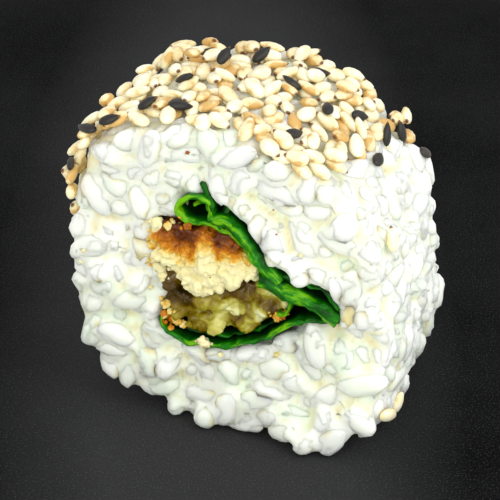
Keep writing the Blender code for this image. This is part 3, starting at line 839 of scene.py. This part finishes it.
def lay_seed(u, v, turn, size):
    """Put a seed down at (u, v), mark it on the map, and return its matrix."""
    height, lean_a, lean_b = rest_of_seed(u, v, turn, size)
    cos, sin = math.cos(turn), math.sin(turn)

    def top(a, b):
        along, across = a * cos + b * sin, b * cos - a * sin
        bulge = 1 - (2 * along / size[2]) ** 2 - (2 * across / size[0]) ** 2
        crown = size[1] / 2 * np.sqrt(np.maximum(bulge, 0))
        return np.where(bulge > 0, height + along * lean_a + across * lean_b + crown, -1.0)

    raise_map(seed_map, u, v + MAP_MARGIN, size[2] / 2, top)
    angle = np.interp(u, MAP_RUN, MAP_ANGLES)
    spot = section_point(angle)
    out = section_normal(spot)[0]
    normal = Vector((out[0], 0, out[1]))
    tangent = Vector((-out[1], 0, out[0]))
    length = tangent * cos + Vector((0, sin, 0)) + normal * lean_a
    across = tangent * -sin + Vector((0, cos, 0)) + normal * lean_b
    place = Vector((spot[0], v, spot[1])) + normal * height
    up = length.cross(across)
    return pose(place, length, up if up.dot(normal) > 0 else -up, size)


# %% Where the seeds lie
# The roll was dipped in sesame from this edge, by depth in mm, to the zone's end
EDGE_DEPTH = np.array([-11.5, -7.8, -4.3, 1.4, 6.0, 11.4]) * MM
SEED_EDGE = np.radians([66, 57, 53, 49, 45, 41])
FIRST_ANGLE, SEED_ZONE_END, DENSE_END = [math.radians(angle) for angle in (40, 166, 138)]
SPARSE_SHARE = 0.25
RIGHT_END = math.radians(84)
FRONT_RIGHT, FRONT_LEFT = -11.3 * MM, -10.4 * MM
BACK_SHARE = 0.96
# Listed seeds: angle round the middle in degrees, depth in mm, turn in degrees
BLACK_SEEDS = (
    (115, 7.1, 150), (106, 4.6, 75), (105, 3.2, 105), (114, -0.8, 20), (117, -8.3, 165), (111, -6.0, 90),
    (108, -7.4, 140), (97, 8.0, 130), (81, 2.6, 10), (76, 7.4, 150), (66, -0.2, 70), (70, -7.1, 115),
    (56, 3.4, 130), (45, 5.0, 35), (42, 1.0, 88), (41, 8.3, 5), (29, 10.0, 120), (126, -10.9, 170),
    (134, -10.9, 30), (147, -10.9, 80),
)
STRAY_SEEDS = (
    (22, -6.8, 20), (-40, -4.5, 60), (-38, -8.8, 120), (156, -10.8, 80), (37, 10.2, 95), (138, -11.0, 60),
    (150, -11.0, 120), (57, -9.0, 0), (53, -6.0, 170), (62, -11.0, 20), (70, -11.0, 0), (50, -1.0, 25),
)
BLACK_SIZE = np.array([1.55, 1.0, 2.95]) * MM
# The black seeds are laid when this many white ones lie, so that few of them are covered
WHITE_SEEDS, BLACK_AFTER = 232, 190
TRIES = 4


def in_seed_zone(angle, v):
    """True where the roll was dipped in sesame: its top, and sparsely down its far side."""
    front = FRONT_RIGHT if angle < RIGHT_END else FRONT_LEFT
    sparse = angle > DENSE_END and draw.uniform() > SPARSE_SHARE
    return np.interp(v, EDGE_DEPTH, SEED_EDGE) < angle < SEED_ZONE_END and v > front and not sparse


def lay_listed(seeds, size):
    """Put down seeds whose angle round the section, depth and turn are given."""
    return [lay_seed(along_section(math.radians(angle)), v * MM, math.radians(turn),
                     size * draw.uniform(0.9, 1.05)) for angle, v, turn in seeds]


white_places, black_places = lay_listed(STRAY_SEEDS, SEED_SIZE), []
while len(white_places) < WHITE_SEEDS:
    if len(white_places) == BLACK_AFTER and not black_places:
        black_places = lay_listed(BLACK_SEEDS, BLACK_SIZE)
    size = SEED_SIZE * draw.uniform(0.88, 1.08, 3)
    chosen = None
    for _ in range(TRIES):
        angle = draw.uniform(FIRST_ANGLE, SEED_ZONE_END)
        v = draw.uniform(-HALF_THICK, BACK_SHARE * HALF_THICK)
        turn = draw.uniform(0, math.tau)
        if in_seed_zone(angle, v):
            u = along_section(angle)
            height = rest_of_seed(u, v, turn, size)[0]
            if chosen is None or height < chosen[0]:
                chosen = (height, u, v, turn)
    if chosen:
        white_places.append(lay_seed(*chosen[1:], size))
print(f"sesame: {len(white_places)} white and {len(black_places)} black seeds")

# %% [markdown]
# ### Sesame as a material
#
# A hulled sesame seed is a flat drop, cream-coloured, smooth and a little oily; toasting
# browns its point, and its sides and underside are painted amber as shade. Black sesame
# keeps its ribbed, matt hull. The marks along each seed and its own degree of toasting are
# stored on its points as attributes.

# %% Seed shape, materials and pieces
RIBS_ROUND = 5


def sesame_seed(ribs):
    """One flat drop about the origin, its point towards +Z."""
    shape = bmesh.new()
    bmesh.ops.create_uvsphere(shape, u_segments=10, v_segments=7, radius=0.5)
    for vert in shape.verts:
        x, y, z = vert.co
        taper = (1 - 0.66 * max(2 * z, 0) ** 1.5) * (1 + 0.15 * max(-2 * z, 0))
        rib = 1 - ribs * (0.5 + 0.5 * math.cos(RIBS_ROUND * math.atan2(y, x)))
        vert.co = Vector((x * taper * rib, y * (0.25 + 0.75 * taper) * rib, z))
    return shape


def sow(places, ribs):
    """All seeds of one kind in one bmesh, with their toast marks, and rim marks on their sides and
    underside for painted shade.
    """
    field = bmesh.new()
    seed = sesame_seed(ribs)
    seed.verts.index_update()
    for matrix in places:
        # rim: a seed's sides and underside, which the material paints as amber shade on white seeds
        stamp(field, seed, matrix, {"toast": draw.uniform(0, 1) ** 3, "tip": lambda p: p.z + 0.5,
                                    "rim": lambda p: min(abs(2 * p.x) ** 3 + max(-2 * p.y, 0), 1.0)})
    seed.free()
    return field


def sesame(name, stops, roughness, ribbed):
    """Sesame hull: smooth and toasted, or black and finely ribbed."""
    material, tree, shader, place = new_material(name)
    toasted = weighted(tree, attribute(tree, "toast"), 0.55, noise_of(tree, place, 900, 3))
    # The rim mark paints amber shade on a white seed's sides and underside, and turns a black seed's
    # browner
    colour = colour_ramp(tree, weighted(tree, attribute(tree, "rim"), 0.36, toasted), *stops)
    point = stretched(tree, attribute(tree, "tip"), 0.87, 0.94)
    tipped = blended(tree, point, colour, "6d4218")
    waves, strength, depth_of_light = (5200, 0.45, 0.0) if ribbed else (2600, 0.2, 0.25)
    finish_shader(tree, shader, tipped, (noise_of(tree, place, waves, 2), strength, 0.05),
                  Roughness=roughness, IOR=1.46, Subsurface_Weight=depth_of_light,
                  Subsurface_Radius=(1.0, 0.75, 0.4), Subsurface_Scale=0.5 * MM)
    return material


toasted = sesame("sesame seed, hulled and toasted",
                 ((0.35, "fff8e6"), (0.62, "f9edca"), (0.84, "f0dcaa"), (1.1, "d6ac66")), 0.42, False)
black = sesame("black sesame seed, ribbed hull",
               ((0.3, "161513"), (0.8, "24211d"), (1.0, "37302a")), 0.5, True)
finish_piece("sesame_toasted", sow(white_places, 0.0), toasted, ["rice"])
finish_piece("sesame_black", sow(black_places, 0.06), black, ["rice"])

# %% [markdown]
# ## The green leaf
#
# Several leaves were rolled in with the fillings, so in section they are lines: a strip
# under the mash, folds that meet in a point on the right, folds over the fried piece and
# a loop at the top. Each is a flat profile that is extruded step by step along its line,
# thicker at its rims where the leaf is doubled, then crumpled by noise. Each point keeps
# its way along the strip, so that the leaf's streaks run along it.

# %% Leaf strips
PROFILE_STEPS = 16
RIM_STEPS = 5
RIM_REACH = 2.2 * MM
# How fast the leaf turns to painted shade away from its cut rims
SHADE_FADE_FROM_RIM = 0.7
RUFFLE, WAVE, FINE_WAVE = 0.55, 0.32, 0.24
STREAK_SCALE = (0.35, 1.5, 0.6)
# Line in mm, steps, thickness at the rims and inside in mm, front and back in mm, tone; a low
# tone darkens a strip, partly its own colour and partly painted shade where it lies behind others
LEAF_STRIPS = (
    (((-9.0, 13.9), (-8.8, 12.8), (-7.6, 11.9), (-5.9, 11.3), (-4.1, 11.2), (-1.6, 11.5), (0.8, 12.2),
      (3.3, 13.5), (5.2, 14.9), (7.1, 16.6), (9.5, 17.7), (12.6, 18.0)),
     64, (0.6, 0.5), (-11.7, 11.6), 0.5),
    (((-8.3, 13.9), (-7.6, 13.0), (-5.9, 12.2), (-3.5, 12.0), (-1.0, 12.4), (1.6, 13.4), (4.0, 15.1),
      (5.9, 17.0), (7.3, 18.9), (8.3, 20.0)), 52, (0.35, 0.45), (-10.3, 11.0), 0.0),
    (((3.2, 21.6), (4.5, 21.4), (6.1, 20.9), (8.0, 20.3), (9.7, 19.7), (11.1, 19.0), (12.6, 18.1)),
     40, (1.8, 0.7), (-11.8, 11.4), 0.5),
    (((4.5, 23.3), (5.3, 22.4), (6.6, 22.0), (8.4, 21.9), (10.2, 21.6), (11.4, 20.9), (12.7, 19.3)),
     36, (0.5, 0.5), (-11.2, 11.0), 0.1),
    (((-2.4, 28.4), (-1.5, 28.5), (-0.5, 28.3), (1.1, 27.0), (2.5, 25.0), (4.0, 23.2), (5.6, 21.9)),
     44, (1.35, 0.7), (-11.8, 11.4), 0.45),
    (((-1.9, 27.2), (-0.6, 26.9), (0.8, 25.8), (2.0, 24.1), (3.3, 22.4)),
     28, (0.45, 0.5), (-11.3, 11.0), 0.65),
    (((-1.2, 27.0), (-2.7, 27.7), (-4.6, 27.7), (-5.9, 28.2), (-6.2, 29.3), (-5.3, 30.3), (-3.8, 30.8),
      (-2.6, 30.4), (-2.8, 29.4), (-2.5, 28.2)), 60, (0.62, 0.5), (-11.8, 11.3), 0.7),
    (((-4.7, 29.2), (-4.0, 29.9), (-3.2, 29.8), (-3.3, 29.0)), 16, (0.5, 0.4), (-10.9, 10.5), 0.9),
    (((-3.4, 32.4), (-2.9, 30.9), (-2.4, 29.5), (-2.0, 28.3), (-1.2, 27.4)),
     30, (0.6, 0.5), (-11.5, 11.0), 0.2),
    (((-2.2, 32.2), (-1.3, 31.0), (-0.9, 29.9), (-1.0, 28.8)), 24, (0.8, 0.5), (-10.8, 11.0), 0.0),
    (((5.6, 20.6), (6.6, 19.7), (6.8, 18.3), (6.2, 17.3), (5.2, 16.8)),
     28, (0.5, 0.4), (-11.2, 10.6), 0.85),
)


def sweep(line, profile):
    """Extrude a closed profile of (out, y) pairs along a line in section."""
    tangent = np.gradient(line, axis=0)
    tangent /= np.linalg.norm(tangent, axis=1)[:, None]
    normal = np.stack([-tangent[:, 1], tangent[:, 0]], axis=1)
    run = run_along(line)
    shape = bmesh.new()
    slot = shape.verts.layers.int.new("slot")
    shape.verts.layers.float.new("run")
    shape.verts.layers.float.new("side")
    ring = [shape.verts.new((0, y, out)) for out, y in profile]
    for j, vert in enumerate(ring):
        vert[slot] = j
    cap = shape.faces.new(ring)
    edges = list(cap.edges)
    for k in range(1, len(line)):
        place_ring(shape, ring, (line[k - 1], normal[k - 1], run[k - 1]), profile)
        made = bmesh.ops.extrude_edge_only(shape, edges=edges)["geom"]
        ring = [item for item in made if isinstance(item, bmesh.types.BMVert)]
        edges = [item for item in made if isinstance(item, bmesh.types.BMEdge)]
    place_ring(shape, ring, (line[-1], normal[-1], run[-1]), profile)
    bmesh.ops.holes_fill(shape, edges=edges, sides=0)
    bmesh.ops.recalc_face_normals(shape, faces=shape.faces[:])
    return shape


def place_ring(shape, ring, station, profile):
    """Put each point of a ring on its own place of the profile, and note where that is."""
    middle, normal, run = station
    slot = shape.verts.layers.int["slot"]
    run_layer, side_layer = [shape.verts.layers.float[name] for name in ("run", "side")]
    for vert in ring:
        out, y = profile[vert[slot]]
        vert.co = (middle[0] + out * normal[0], y, middle[1] + out * normal[1])
        vert[run_layer], vert[side_layer] = run, out


def leaf_profile(thickness, reach):
    """The leaf cut across its line: thicker towards both rims, and rounded there."""
    front, back = reach[0] * MM, reach[1] * MM
    flat = np.linspace(front, back, PROFILE_STEPS)
    near_rim = np.exp(-np.minimum(flat - front, back - flat) / RIM_REACH)
    half = (thickness[1] + (thickness[0] - thickness[1]) * near_rim) * MM / 2
    turn = np.linspace(0, math.pi, RIM_STEPS + 2)[1:-1]
    upper = list(zip(half, flat))
    back_rim = [(half[-1] * math.cos(a), back + half[-1] * 0.8 * math.sin(a)) for a in turn]
    front_rim = [(-half[0] * math.cos(a), front - half[0] * 0.8 * math.sin(a)) for a in turn]
    return upper + back_rim + [(-out, y) for out, y in reversed(upper)] + front_rim


def crumple(sheet, salt, reach):
    """Wave a leaf strip and ruffle its rims; both of its faces move alike."""
    for vert in sheet.verts:
        x, y, z = vert.co / MM
        edge = min(abs(y - reach[0]), abs(y - reach[1]))
        ruffle = RUFFLE * noise.noise(Vector((x * 0.7 + salt, salt, z * 0.7))) * math.exp(-edge / 2)
        across = Vector((noise.noise(Vector((x * 0.5, y * 0.3 + salt, z * 0.5))), 0,
                         noise.noise(Vector((x * 0.5 + 9, y * 0.3, z * 0.5 + salt)))))
        fine = Vector((noise.noise(Vector((x * 1.5, y * 0.9, z * 1.5 + salt))), 0,
                       noise.noise(Vector((x * 1.5 + salt, y * 0.9, z * 1.5)))))
        vert.co += (WAVE * across + FINE_WAVE * fine + Vector((0, ruffle, 0))) * MM


def painted_rim_light(y, reach):
    """How near a point is to a cut rim, from 1 at the rim down; away from it the leaf is painted darker
    as shade.
    """
    return math.exp(-max(min(y - reach[0], reach[1] - y), 0) / SHADE_FADE_FROM_RIM)


def leaf_material():
    """Spinach-like leaf, wilted and moist: a waxy skin, lighter at its cut rims and painted darker as
    shade away from them.
    """
    material, tree, shader, place = new_material("green leaf, wilted, waxy skin")
    depth = add_node(tree, "ShaderNodeSeparateXYZ", Vector=place).outputs["Y"]
    along = add_node(tree, "ShaderNodeCombineXYZ", X=attribute(tree, "run"), Y=attribute(tree, "side"),
                     Z=depth).outputs["Vector"]
    mapping = add_node(tree, "ShaderNodeMapping", {"Scale": STREAK_SCALE}, Vector=along)
    drawn = mapping.outputs["Vector"]
    streak = noise_of(tree, drawn, 700, 5, Roughness=0.6)
    # Streaks and light near the cut rims; away from them the leaf is darker as painted shade, and a low
    # tone darkens a whole strip, partly as painted shade
    lit = weighted(tree, streak, attribute(tree, "rim"))
    toned = weighted(tree, attribute(tree, "tone"), 0.35, lit)
    colour = colour_ramp(tree, weighted(tree, streak, 0.35, toned), (0.28, "000c00"), (0.52, "012600"),
                         (0.7, "054a00"), (0.87, "177800"), (1.0, "6cae00"))
    finish_shader(tree, shader, colour, (noise_of(tree, drawn, 1200, 4), 1.0, 0.55), Roughness=0.42,
                  Specular_IOR_Level=0.2, Subsurface_Weight=0.05, Subsurface_Radius=(0.4, 1.0, 0.15),
                  Subsurface_Scale=0.4 * MM)
    return material


leaf_shape = bmesh.new()
for number, (line, steps, thickness, reach, tone) in enumerate(LEAF_STRIPS):
    strip = sweep(smooth_curve(line, steps, closed=False), leaf_profile(thickness, reach))
    crumple(strip, 3.0 + 0.7 * number, reach)
    # rim: nearness to a cut rim, with painted shade away from it; tone: a strip's darkness, partly
    # painted shade
    mark(strip, "rim", lambda vert: painted_rim_light(vert.co.y / MM, reach))
    mark(strip, "tone", lambda vert: tone)
    join_bmesh(leaf_shape, strip)
leaf_surface = bvhtree.BVHTree.FromBMesh(leaf_shape)
finish_piece("leaf_folds", leaf_shape, leaf_material(), ["leaf"])

# %% [markdown]
# ## The fried piece and the mash
#
# Both fillings are soft masses with lumps. A body with the right outline is covered with
# small balls of crumb or mash, the whole is melted together like the rice paste, and
# noise of several sizes then roughens the skin: much for the crumb, less for the mash.

# %% Lumpy bodies
FRIED_OUTLINE = (
    (3.4, 22.0), (1.2, 25.0), (-1.0, 26.5), (-3.4, 26.9), (-6.0, 26.8), (-8.6, 26.4), (-9.7, 25.2),
    (-10.0, 22.6), (-8.6, 21.2), (-7.0, 19.8), (-6.0, 18.5), (-4.4, 18.1), (-2.9, 18.6), (-1.1, 19.1),
    (-0.2, 20.0), (1.6, 21.1),
)
MASH_OUTLINE = (
    (6.3, 19.2), (3.4, 20.6), (0.9, 20.3), (-0.1, 18.6), (-2.2, 17.6), (-5.0, 17.6), (-6.9, 19.2),
    (-8.9, 19.8), (-9.2, 16.6), (-8.4, 14.2), (-6.6, 12.8), (-2.8, 12.6), (0.6, 13.4), (3.4, 14.9),
    (5.6, 16.8),
)
# Where the brown crust of the fried piece ends below, in mm, from left to right
CRUST_EDGE = ((-11.0, 25.8), (-9.8, 25.1), (-8.4, 23.5), (-6.4, 22.5), (-4.6, 22.4), (-3.8, 24.6),
              (-2.6, 24.9), (-1.8, 22.9), (0.2, 23.5), (1.6, 24.1), (4.0, 25.0))
CRUST_LINE = np.array(CRUST_EDGE).T * MM
CRUST_FADE = 2.4 * MM
# Where each filling starts in front and ends at the back
FRIED_REACH, MASH_REACH = (-12.0 * MM, 11.6 * MM), (-10.9 * MM, 11.0 * MM)
BODY_INSET = 0.7 * MM
# Lumps of the mash that show in front: place in mm, radius in mm, tone from sauce to pale
MASH_LUMPS = (
    ((-0.2, -11.0, 16.7), 1.25, 0.95), ((-1.9, -11.2, 14.1), 1.5, 0.9), ((-4.0, -10.8, 16.9), 1.0, 0.7),
    ((3.0, -10.6, 16.4), 1.1, 1.0), ((4.4, -10.2, 19.4), 0.9, 1.0), ((-7.0, -10.9, 15.0), 1.1, 0.65),
    ((1.3, -10.6, 18.8), 1.0, 0.45), ((-5.6, -11.0, 13.2), 0.9, 0.6), ((1.6, -11.0, 14.6), 1.0, 0.75),
    ((-3.6, -11.2, 14.7), 0.9, 0.6), ((-7.9, -10.5, 17.6), 1.0, 0.15), ((-5.9, -10.9, 16.7), 1.1, 0.1),
)


def lump_list(rim, front, back, count, size):
    """Random lumps all over a filling: place, radius and tone."""
    middle = rim.mean(axis=0)
    lumps = []
    for k in range(count):
        radius = draw.uniform(*size) * MM
        inner = middle + (rim[draw.integers(len(rim))] - middle) * math.sqrt(draw.uniform(0, 1))
        spot = inner if k % 2 else rim[draw.integers(len(rim))]
        spot = middle + (spot - middle) * (1 - 0.8 * radius / (8 * MM))
        end = front + radius * draw.uniform(0.6, 1.3) if draw.uniform() < 0.7 else back - radius
        y = end if k % 2 else draw.uniform(front + radius, back - radius)
        lumps.append((Vector((spot[0], y, spot[1])), radius, draw.uniform() ** 1.4))
    return lumps


def lumpy_body(rim, front, back, lumps, voxel, rounds):
    """A body extruded from an outline with lumps on it, melted into one skin."""
    body = bmesh.new()
    middle = rim.mean(axis=0)
    core = middle + (rim - middle) * 0.9
    body.faces.new([body.verts.new((x, front + BODY_INSET, z)) for x, z in core])
    thicken(body, back - front - 2 * BODY_INSET)
    ball = bmesh.new()
    bmesh.ops.create_icosphere(ball, subdivisions=2, radius=1.0)
    ball.verts.index_update()
    for place, radius, _ in lumps:
        turn = Matrix.Rotation(draw.uniform(0, math.pi), 4, Vector(draw.normal(size=3)))
        stretch = turn @ Matrix.Diagonal((*draw.uniform(0.6, 1.25, 3), 1.0))
        stamp(body, ball, Matrix.Translation(place) @ stretch @ Matrix.Scale(radius, 4), {})
    ball.free()
    skin = melted(body, voxel, rounds)
    tree = search_tree([place for place, _, _ in lumps])

    def nearby_tone(vert):
        near = [((lumps[k][1] / away) ** 4, lumps[k][2]) for _, k, away in tree.find_n(vert.co, 4)]
        return sum(share * value for share, value in near) / sum(share for share, _ in near)

    mark(skin, "tone", nearby_tone)
    return skin


def crust_height(vert):
    """How far a point lies above the crust's lower edge, in steps of the fade."""
    return (vert.co.z - np.interp(vert.co.x, *CRUST_LINE)) / CRUST_FADE


fried_rim, mash_rim = [smooth_curve(points, 48, closed=True) for points in (FRIED_OUTLINE, MASH_OUTLINE)]
fried_lumps = lump_list(fried_rim, *FRIED_REACH, 700, (0.3, 0.8))
fried = lumpy_body(fried_rim, *FRIED_REACH, fried_lumps, 0.2 * MM, 4)
roughen(fried, (2.6, 0.8), (1.1, 0.5), (0.55, 0.4), (0.28, 0.18))
mark(fried, "crust", crust_height)
mash_lumps = lump_list(mash_rim, *MASH_REACH, 170, (0.7, 1.5))
mash_lumps += [(Vector(place) * MM, radius * MM, tone) for place, radius, tone in MASH_LUMPS]
mash = lumpy_body(mash_rim, *MASH_REACH, mash_lumps, 0.22 * MM, 14)
roughen(mash, (2.2, 0.7), (1.0, 0.35), (0.4, 0.2))
print(f"fried piece: {len(fried_lumps)} lumps, mash: {len(mash_lumps)} lumps")

# %% [markdown]
# ### Fried crumb and mash as materials
#
# Panko-like crumb fries to a deep brown on its outside, and is pale where the knife cut
# it, so its colour runs from brown at the top to cream below, broken up by noise. The mash
# is moist and mixed: brown sauce, olive green and pale lumps, with wet highlights.
# %% Filling materials
def fried_crumb():
    """Bread crumb, deep fried: dry, brown above, pale where it was cut."""
    material, tree, shader, place = new_material("bread crumb, deep fried")
    speckled = weighted(tree, noise_of(tree, place, 620, 7, Roughness=0.8), 2.4, attribute(tree, "crust"))
    crumbs = weighted(tree, attribute(tree, "tone"), 0.4, speckled)
    colour = colour_ramp(tree, stretched(tree, crumbs, 0.7, 2.6), (0.05, "ece2b0"), (0.28, "e8d48a"),
                         (0.4, "dfae3e"), (0.54, "cf820a"), (0.72, "a05600"), (0.98, "5c2600"))
    finish_shader(tree, shader, colour, (noise_of(tree, place, 1700, 5), 0.8, 0.22), Roughness=0.42,
                  Specular_IOR_Level=0.3, Subsurface_Weight=0.12, Subsurface_Radius=(1.0, 0.8, 0.45),
                  Subsurface_Scale=0.5 * MM)
    return material


def soft_mash():
    """Mashed vegetable in sauce: moist, with pale lumps in olive and brown."""
    material, tree, shader, place = new_material("vegetable mash, in brown sauce")
    patch = noise_of(tree, place, 500, 4, Distortion=0.6)
    mixed = weighted(tree, patch, 0.7, attribute(tree, "tone"))
    colour = colour_ramp(tree, stretched(tree, mixed, 0.2, 1.5), (0.1, "2b1d01"), (0.34, "5a4102"),
                         (0.52, "7f6908"), (0.66, "a09528"), (0.78, "c4bb60"), (0.88, "dad8a0"),
                         (0.96, "b9c0b0"))
    finish_shader(tree, shader, colour, (noise_of(tree, place, 1400, 4), 0.6, 0.25), Roughness=0.22,
                  Specular_IOR_Level=0.35, Subsurface_Weight=0.3, Subsurface_Radius=(1.0, 0.85, 0.3),
                  Subsurface_Scale=0.8 * MM)
    return material


surfaces = [rice_surface, leaf_surface] + [bvhtree.BVHTree.FromBMesh(shape) for shape in (fried, mash)]
crumb_look = fried_crumb()
finish_piece("fried_chunk", fried, crumb_look, ["fried_piece"])
finish_piece("mash_lumps", mash, soft_mash(), ["mash"])

# %% [markdown]
# ## Crumbs and flecks
#
# Cutting drags crumbs out of the fillings. Some lie in the gap between the fried piece and
# the rice, others stick to the cut face. Each is a small ball broken up by noise. A crumb
# is drawn to the nearest surface until its middle is half a radius from it, and the flecks
# on the rice are found with a ray from the front, so that none floats.

# %% Crumbs
# Place in mm, radius in mm, and how deep in the crust's colours: below 0 is pale crumb
CRUMBS = (
    ((-9.0, -11.5, 26.3), 0.85, -0.6), ((-10.1, -11.0, 25.2), 0.6, 0.3), ((-10.4, -10.9, 24.2), 0.6, 0.4),
    ((-9.8, -11.4, 23.3), 0.6, 0.1), ((-10.5, -11.0, 22.4), 0.55, -0.2), ((-9.7, -11.1, 21.4), 0.6, -0.4),
    ((-10.3, -11.5, 21.6), 0.3, 0.25), ((-9.2, -10.8, 20.2), 0.7, -0.6), ((-8.8, -11.0, 19.2), 0.6, -0.4),
    ((-8.8, -11.1, 15.2), 0.55, 0.45), ((-8.5, -11.3, 14.3), 0.5, 0.6), ((-7.9, -11.2, 14.6), 0.4, 0.3),
    ((-7.0, -11.4, 13.4), 0.5, 0.35), ((-7.6, -11.3, 13.0), 0.35, 0.5), ((-3.5, -12.0, 11.9), 0.7, -0.9),
    ((5.3, -11.0, 16.6), 0.45, 0.4), ((5.9, -11.0, 16.9), 0.35, 0.5), ((4.7, -11.1, 16.2), 0.3, 0.3),
    ((-7.6, -11.8, 26.6), 0.5, 0.2), ((-5.2, -11.9, 27.0), 0.45, 0.6), ((1.9, -11.4, 23.6), 0.5, 0.2),
    ((-7.4, -10.9, 13.7), 0.6, 0.4), ((-6.5, -11.0, 13.1), 0.5, 0.2), ((-8.1, -10.7, 13.2), 0.5, 0.5),
)
# Flecks on the cut face: x and z in mm, radius in mm, depth in the crust's colours
FLECKS = (
    (-5.3, 36.0, 0.24, 0.9), (4.5, 30.4, 0.13, 1.0), (5.2, 27.9, 0.15, 0.9), (10.3, 16.6, 0.14, 1.0),
    (8.1, 25.8, 0.32, -0.4), (-1.6, 10.3, 0.35, -0.3), (5.1, 11.3, 0.36, -0.1), (-10.5, 17.2, 0.3, -0.3),
    (-18.2, 21.3, 0.26, -0.4), (-18.8, 19.5, 0.24, -0.4), (-6.1, 9.2, 0.22, -0.3), (1.4, 9.6, 0.2, -0.2),
)
# Small crumbs round each listed one: how many, their spread and radius in mm
SMALL_EACH, SPREAD, SMALL_RADIUS = 3, (0.5, 0.3, 0.5), (0.12, 0.3)
SUNK = 0.5
CRUST_SHIFT = 0.25
DROPPED_FROM = -20


def crumb(radius):
    """One small broken crumb about the origin."""
    shape = bmesh.new()
    bmesh.ops.create_icosphere(shape, subdivisions=3, radius=radius)
    salt = Vector(draw.uniform(-9, 9, 3))
    for vert in shape.verts:
        way = vert.co.normalized()
        vert.co *= 1 + 0.55 * noise.noise(way * 1.3 + salt) + 0.3 * noise.noise(way * 3.5 + salt)
    shape.verts.index_update()
    return shape


def settled(place, radius):
    """The place moved towards the nearest piece until the crumb is a little sunk in it."""
    hits = [surface.find_nearest(place) for surface in surfaces]
    near, _, _, away = min(hits, key=lambda hit: hit[3])
    return near + (place - near) * min(1, SUNK * radius / max(away, 1e-9))


def scatter_crumbs():
    """The listed crumbs, small ones round them, and the flecks, in one bmesh."""
    pile = bmesh.new()
    small = [(Vector(place) + Vector(draw.normal(size=3) * SPREAD), draw.uniform(*SMALL_RADIUS), crust)
             for place, _, crust in CRUMBS for _ in range(SMALL_EACH)]
    dropped = []
    for x, z, radius, crust in FLECKS:
        hit = rice_surface.ray_cast(Vector((x, DROPPED_FROM, z)) * MM, Vector((0, 1, 0)))[0]
        if hit:
            dropped.append((hit / MM, radius, crust))
    for place, radius, crust in list(CRUMBS) + small + dropped:
        piece = crumb(radius * MM)
        middle = settled(Vector(place) * MM, radius * MM)
        marks = {"crust": crust - CRUST_SHIFT, "tone": draw.uniform()}
        stamp(pile, piece, Matrix.Translation(middle), marks)
        piece.free()
    return pile


finish_piece("crumbs", scatter_crumbs(), crumb_look, ["fried_piece"])

# %% [markdown]
# ## Slate board
#
# Slate is a fine clay stone, split along its layers and left matt. Its surface is nearly
# black, dusted with pale specks, with faint clouds, and a pool of light is painted on it,
# lightest down the board's middle and darker towards its corners. The CAD board already
# has the right chipped form, so it only gets a material.

# %% Slate
# Middle and reach of the painted pool of light, darker towards the corners
LIGHT_POOL_MIDDLE = Vector((-4, -20, 0)) * MM
LIGHT_POOL_REACH = Vector((25, 115, 1)) * MM


def slate_stone():
    """Split slate: matt, nearly black, with fine pale specks, faint clouds and a painted pool of light.
    """
    material, tree, shader, place = new_material("slate, split and oiled")
    scale = (1 / LIGHT_POOL_REACH.x, 1 / LIGHT_POOL_REACH.y, 0)
    offset = (-LIGHT_POOL_MIDDLE.x * scale[0], -LIGHT_POOL_MIDDLE.y * scale[1], 0)
    settings = {"operation": "MULTIPLY_ADD", 1: scale, 2: offset}
    from_middle = add_node(tree, "ShaderNodeVectorMath", settings)
    far = add_node(tree, "ShaderNodeVectorMath", {"operation": "LENGTH"})
    tree.links.new(place, from_middle.inputs[0])
    tree.links.new(from_middle.outputs["Vector"], far.inputs[0])
    # A painted pool of light: lighter near the middle, darker towards the corners
    light_pool = stretched(tree, far.outputs["Value"], 1.25, 0.45)
    clouds_and_light_pool = weighted(tree, noise_of(tree, place, 28, 5, Roughness=0.6), 0.6, light_pool)
    base = colour_ramp(tree, clouds_and_light_pool, (0.2, "060606"), (1.2, "2f2f30"))
    dust = stretched(tree, noise_of(tree, place, 4800, 3), 0.56, 0.72, top=0.24)
    dusted = blended(tree, dust, base, "77777a")
    finish_shader(tree, shader, dusted, (noise_of(tree, place, 1500, 4), 0.4, 0.1), Roughness=0.8,
                  Specular_IOR_Level=0.03)
    return material


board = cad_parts["board"]
board.data.materials.clear()
board.data.materials.append(slate_stone())

# %% [markdown]
# ## Light and floor
#
# A big soft light above on the right brightens the top and the right side, and another in
# front fills the cut face. A pale world lights the rest, so that the rice is nearly white
# all over and its shadows stay soft. The floor only shows in views from far off.

# %% Studio
LAMP_SIZE = 0.40
# Each light: name, place from the roll's middle in metres, power in watts, colour
LIGHTS = (
    ("key", (0.36, -0.22, 0.42), 1.55, "f4faff"),
    ("front", (-0.10, -0.52, 0.32), 1.75, "fbfff2"),
)
AIM = ROLL_TO_WORLD @ Vector((0, 0, 18 * MM))
AMBIENT = 0.8
FLOOR_REACH = 1.2


def soft_light(name, offset, watts, colour):
    """A large square area light that looks at the roll."""
    data = bpy.data.lights.new(name, "AREA")
    data.shape = "SQUARE"
    data.size = LAMP_SIZE
    data.energy = watts
    data.color = linear(colour)[:3]
    lamp = as_object(name, data)
    lamp.location = AIM + Vector(offset)
    lamp.rotation_euler = (AIM - lamp.location).to_track_quat("-Z", "Y").to_euler()


for name, offset, watts, colour in LIGHTS:
    soft_light(name, offset, watts, colour)
world = bpy.data.worlds.new("studio")
scene.world = world
world.use_nodes = True
world.node_tree.nodes["Background"].inputs["Color"].default_value = linear("ffffff")
world.node_tree.nodes["Background"].inputs["Strength"].default_value = AMBIENT
scene.view_settings.view_transform = "Standard"

floor_shape = bmesh.new()
bmesh.ops.create_grid(floor_shape, x_segments=1, y_segments=1, size=FLOOR_REACH)
floor = as_object("floor", as_mesh("floor", floor_shape))
floor_material, _, floor_shader, _ = new_material("pale studio paper")
floor_shader.inputs["Base Color"].default_value = linear("d9d9d6")
floor_shader.inputs["Roughness"].default_value = 0.9
floor.data.materials.append(floor_material)
print("lights:", ", ".join(light[0] for light in LIGHTS))
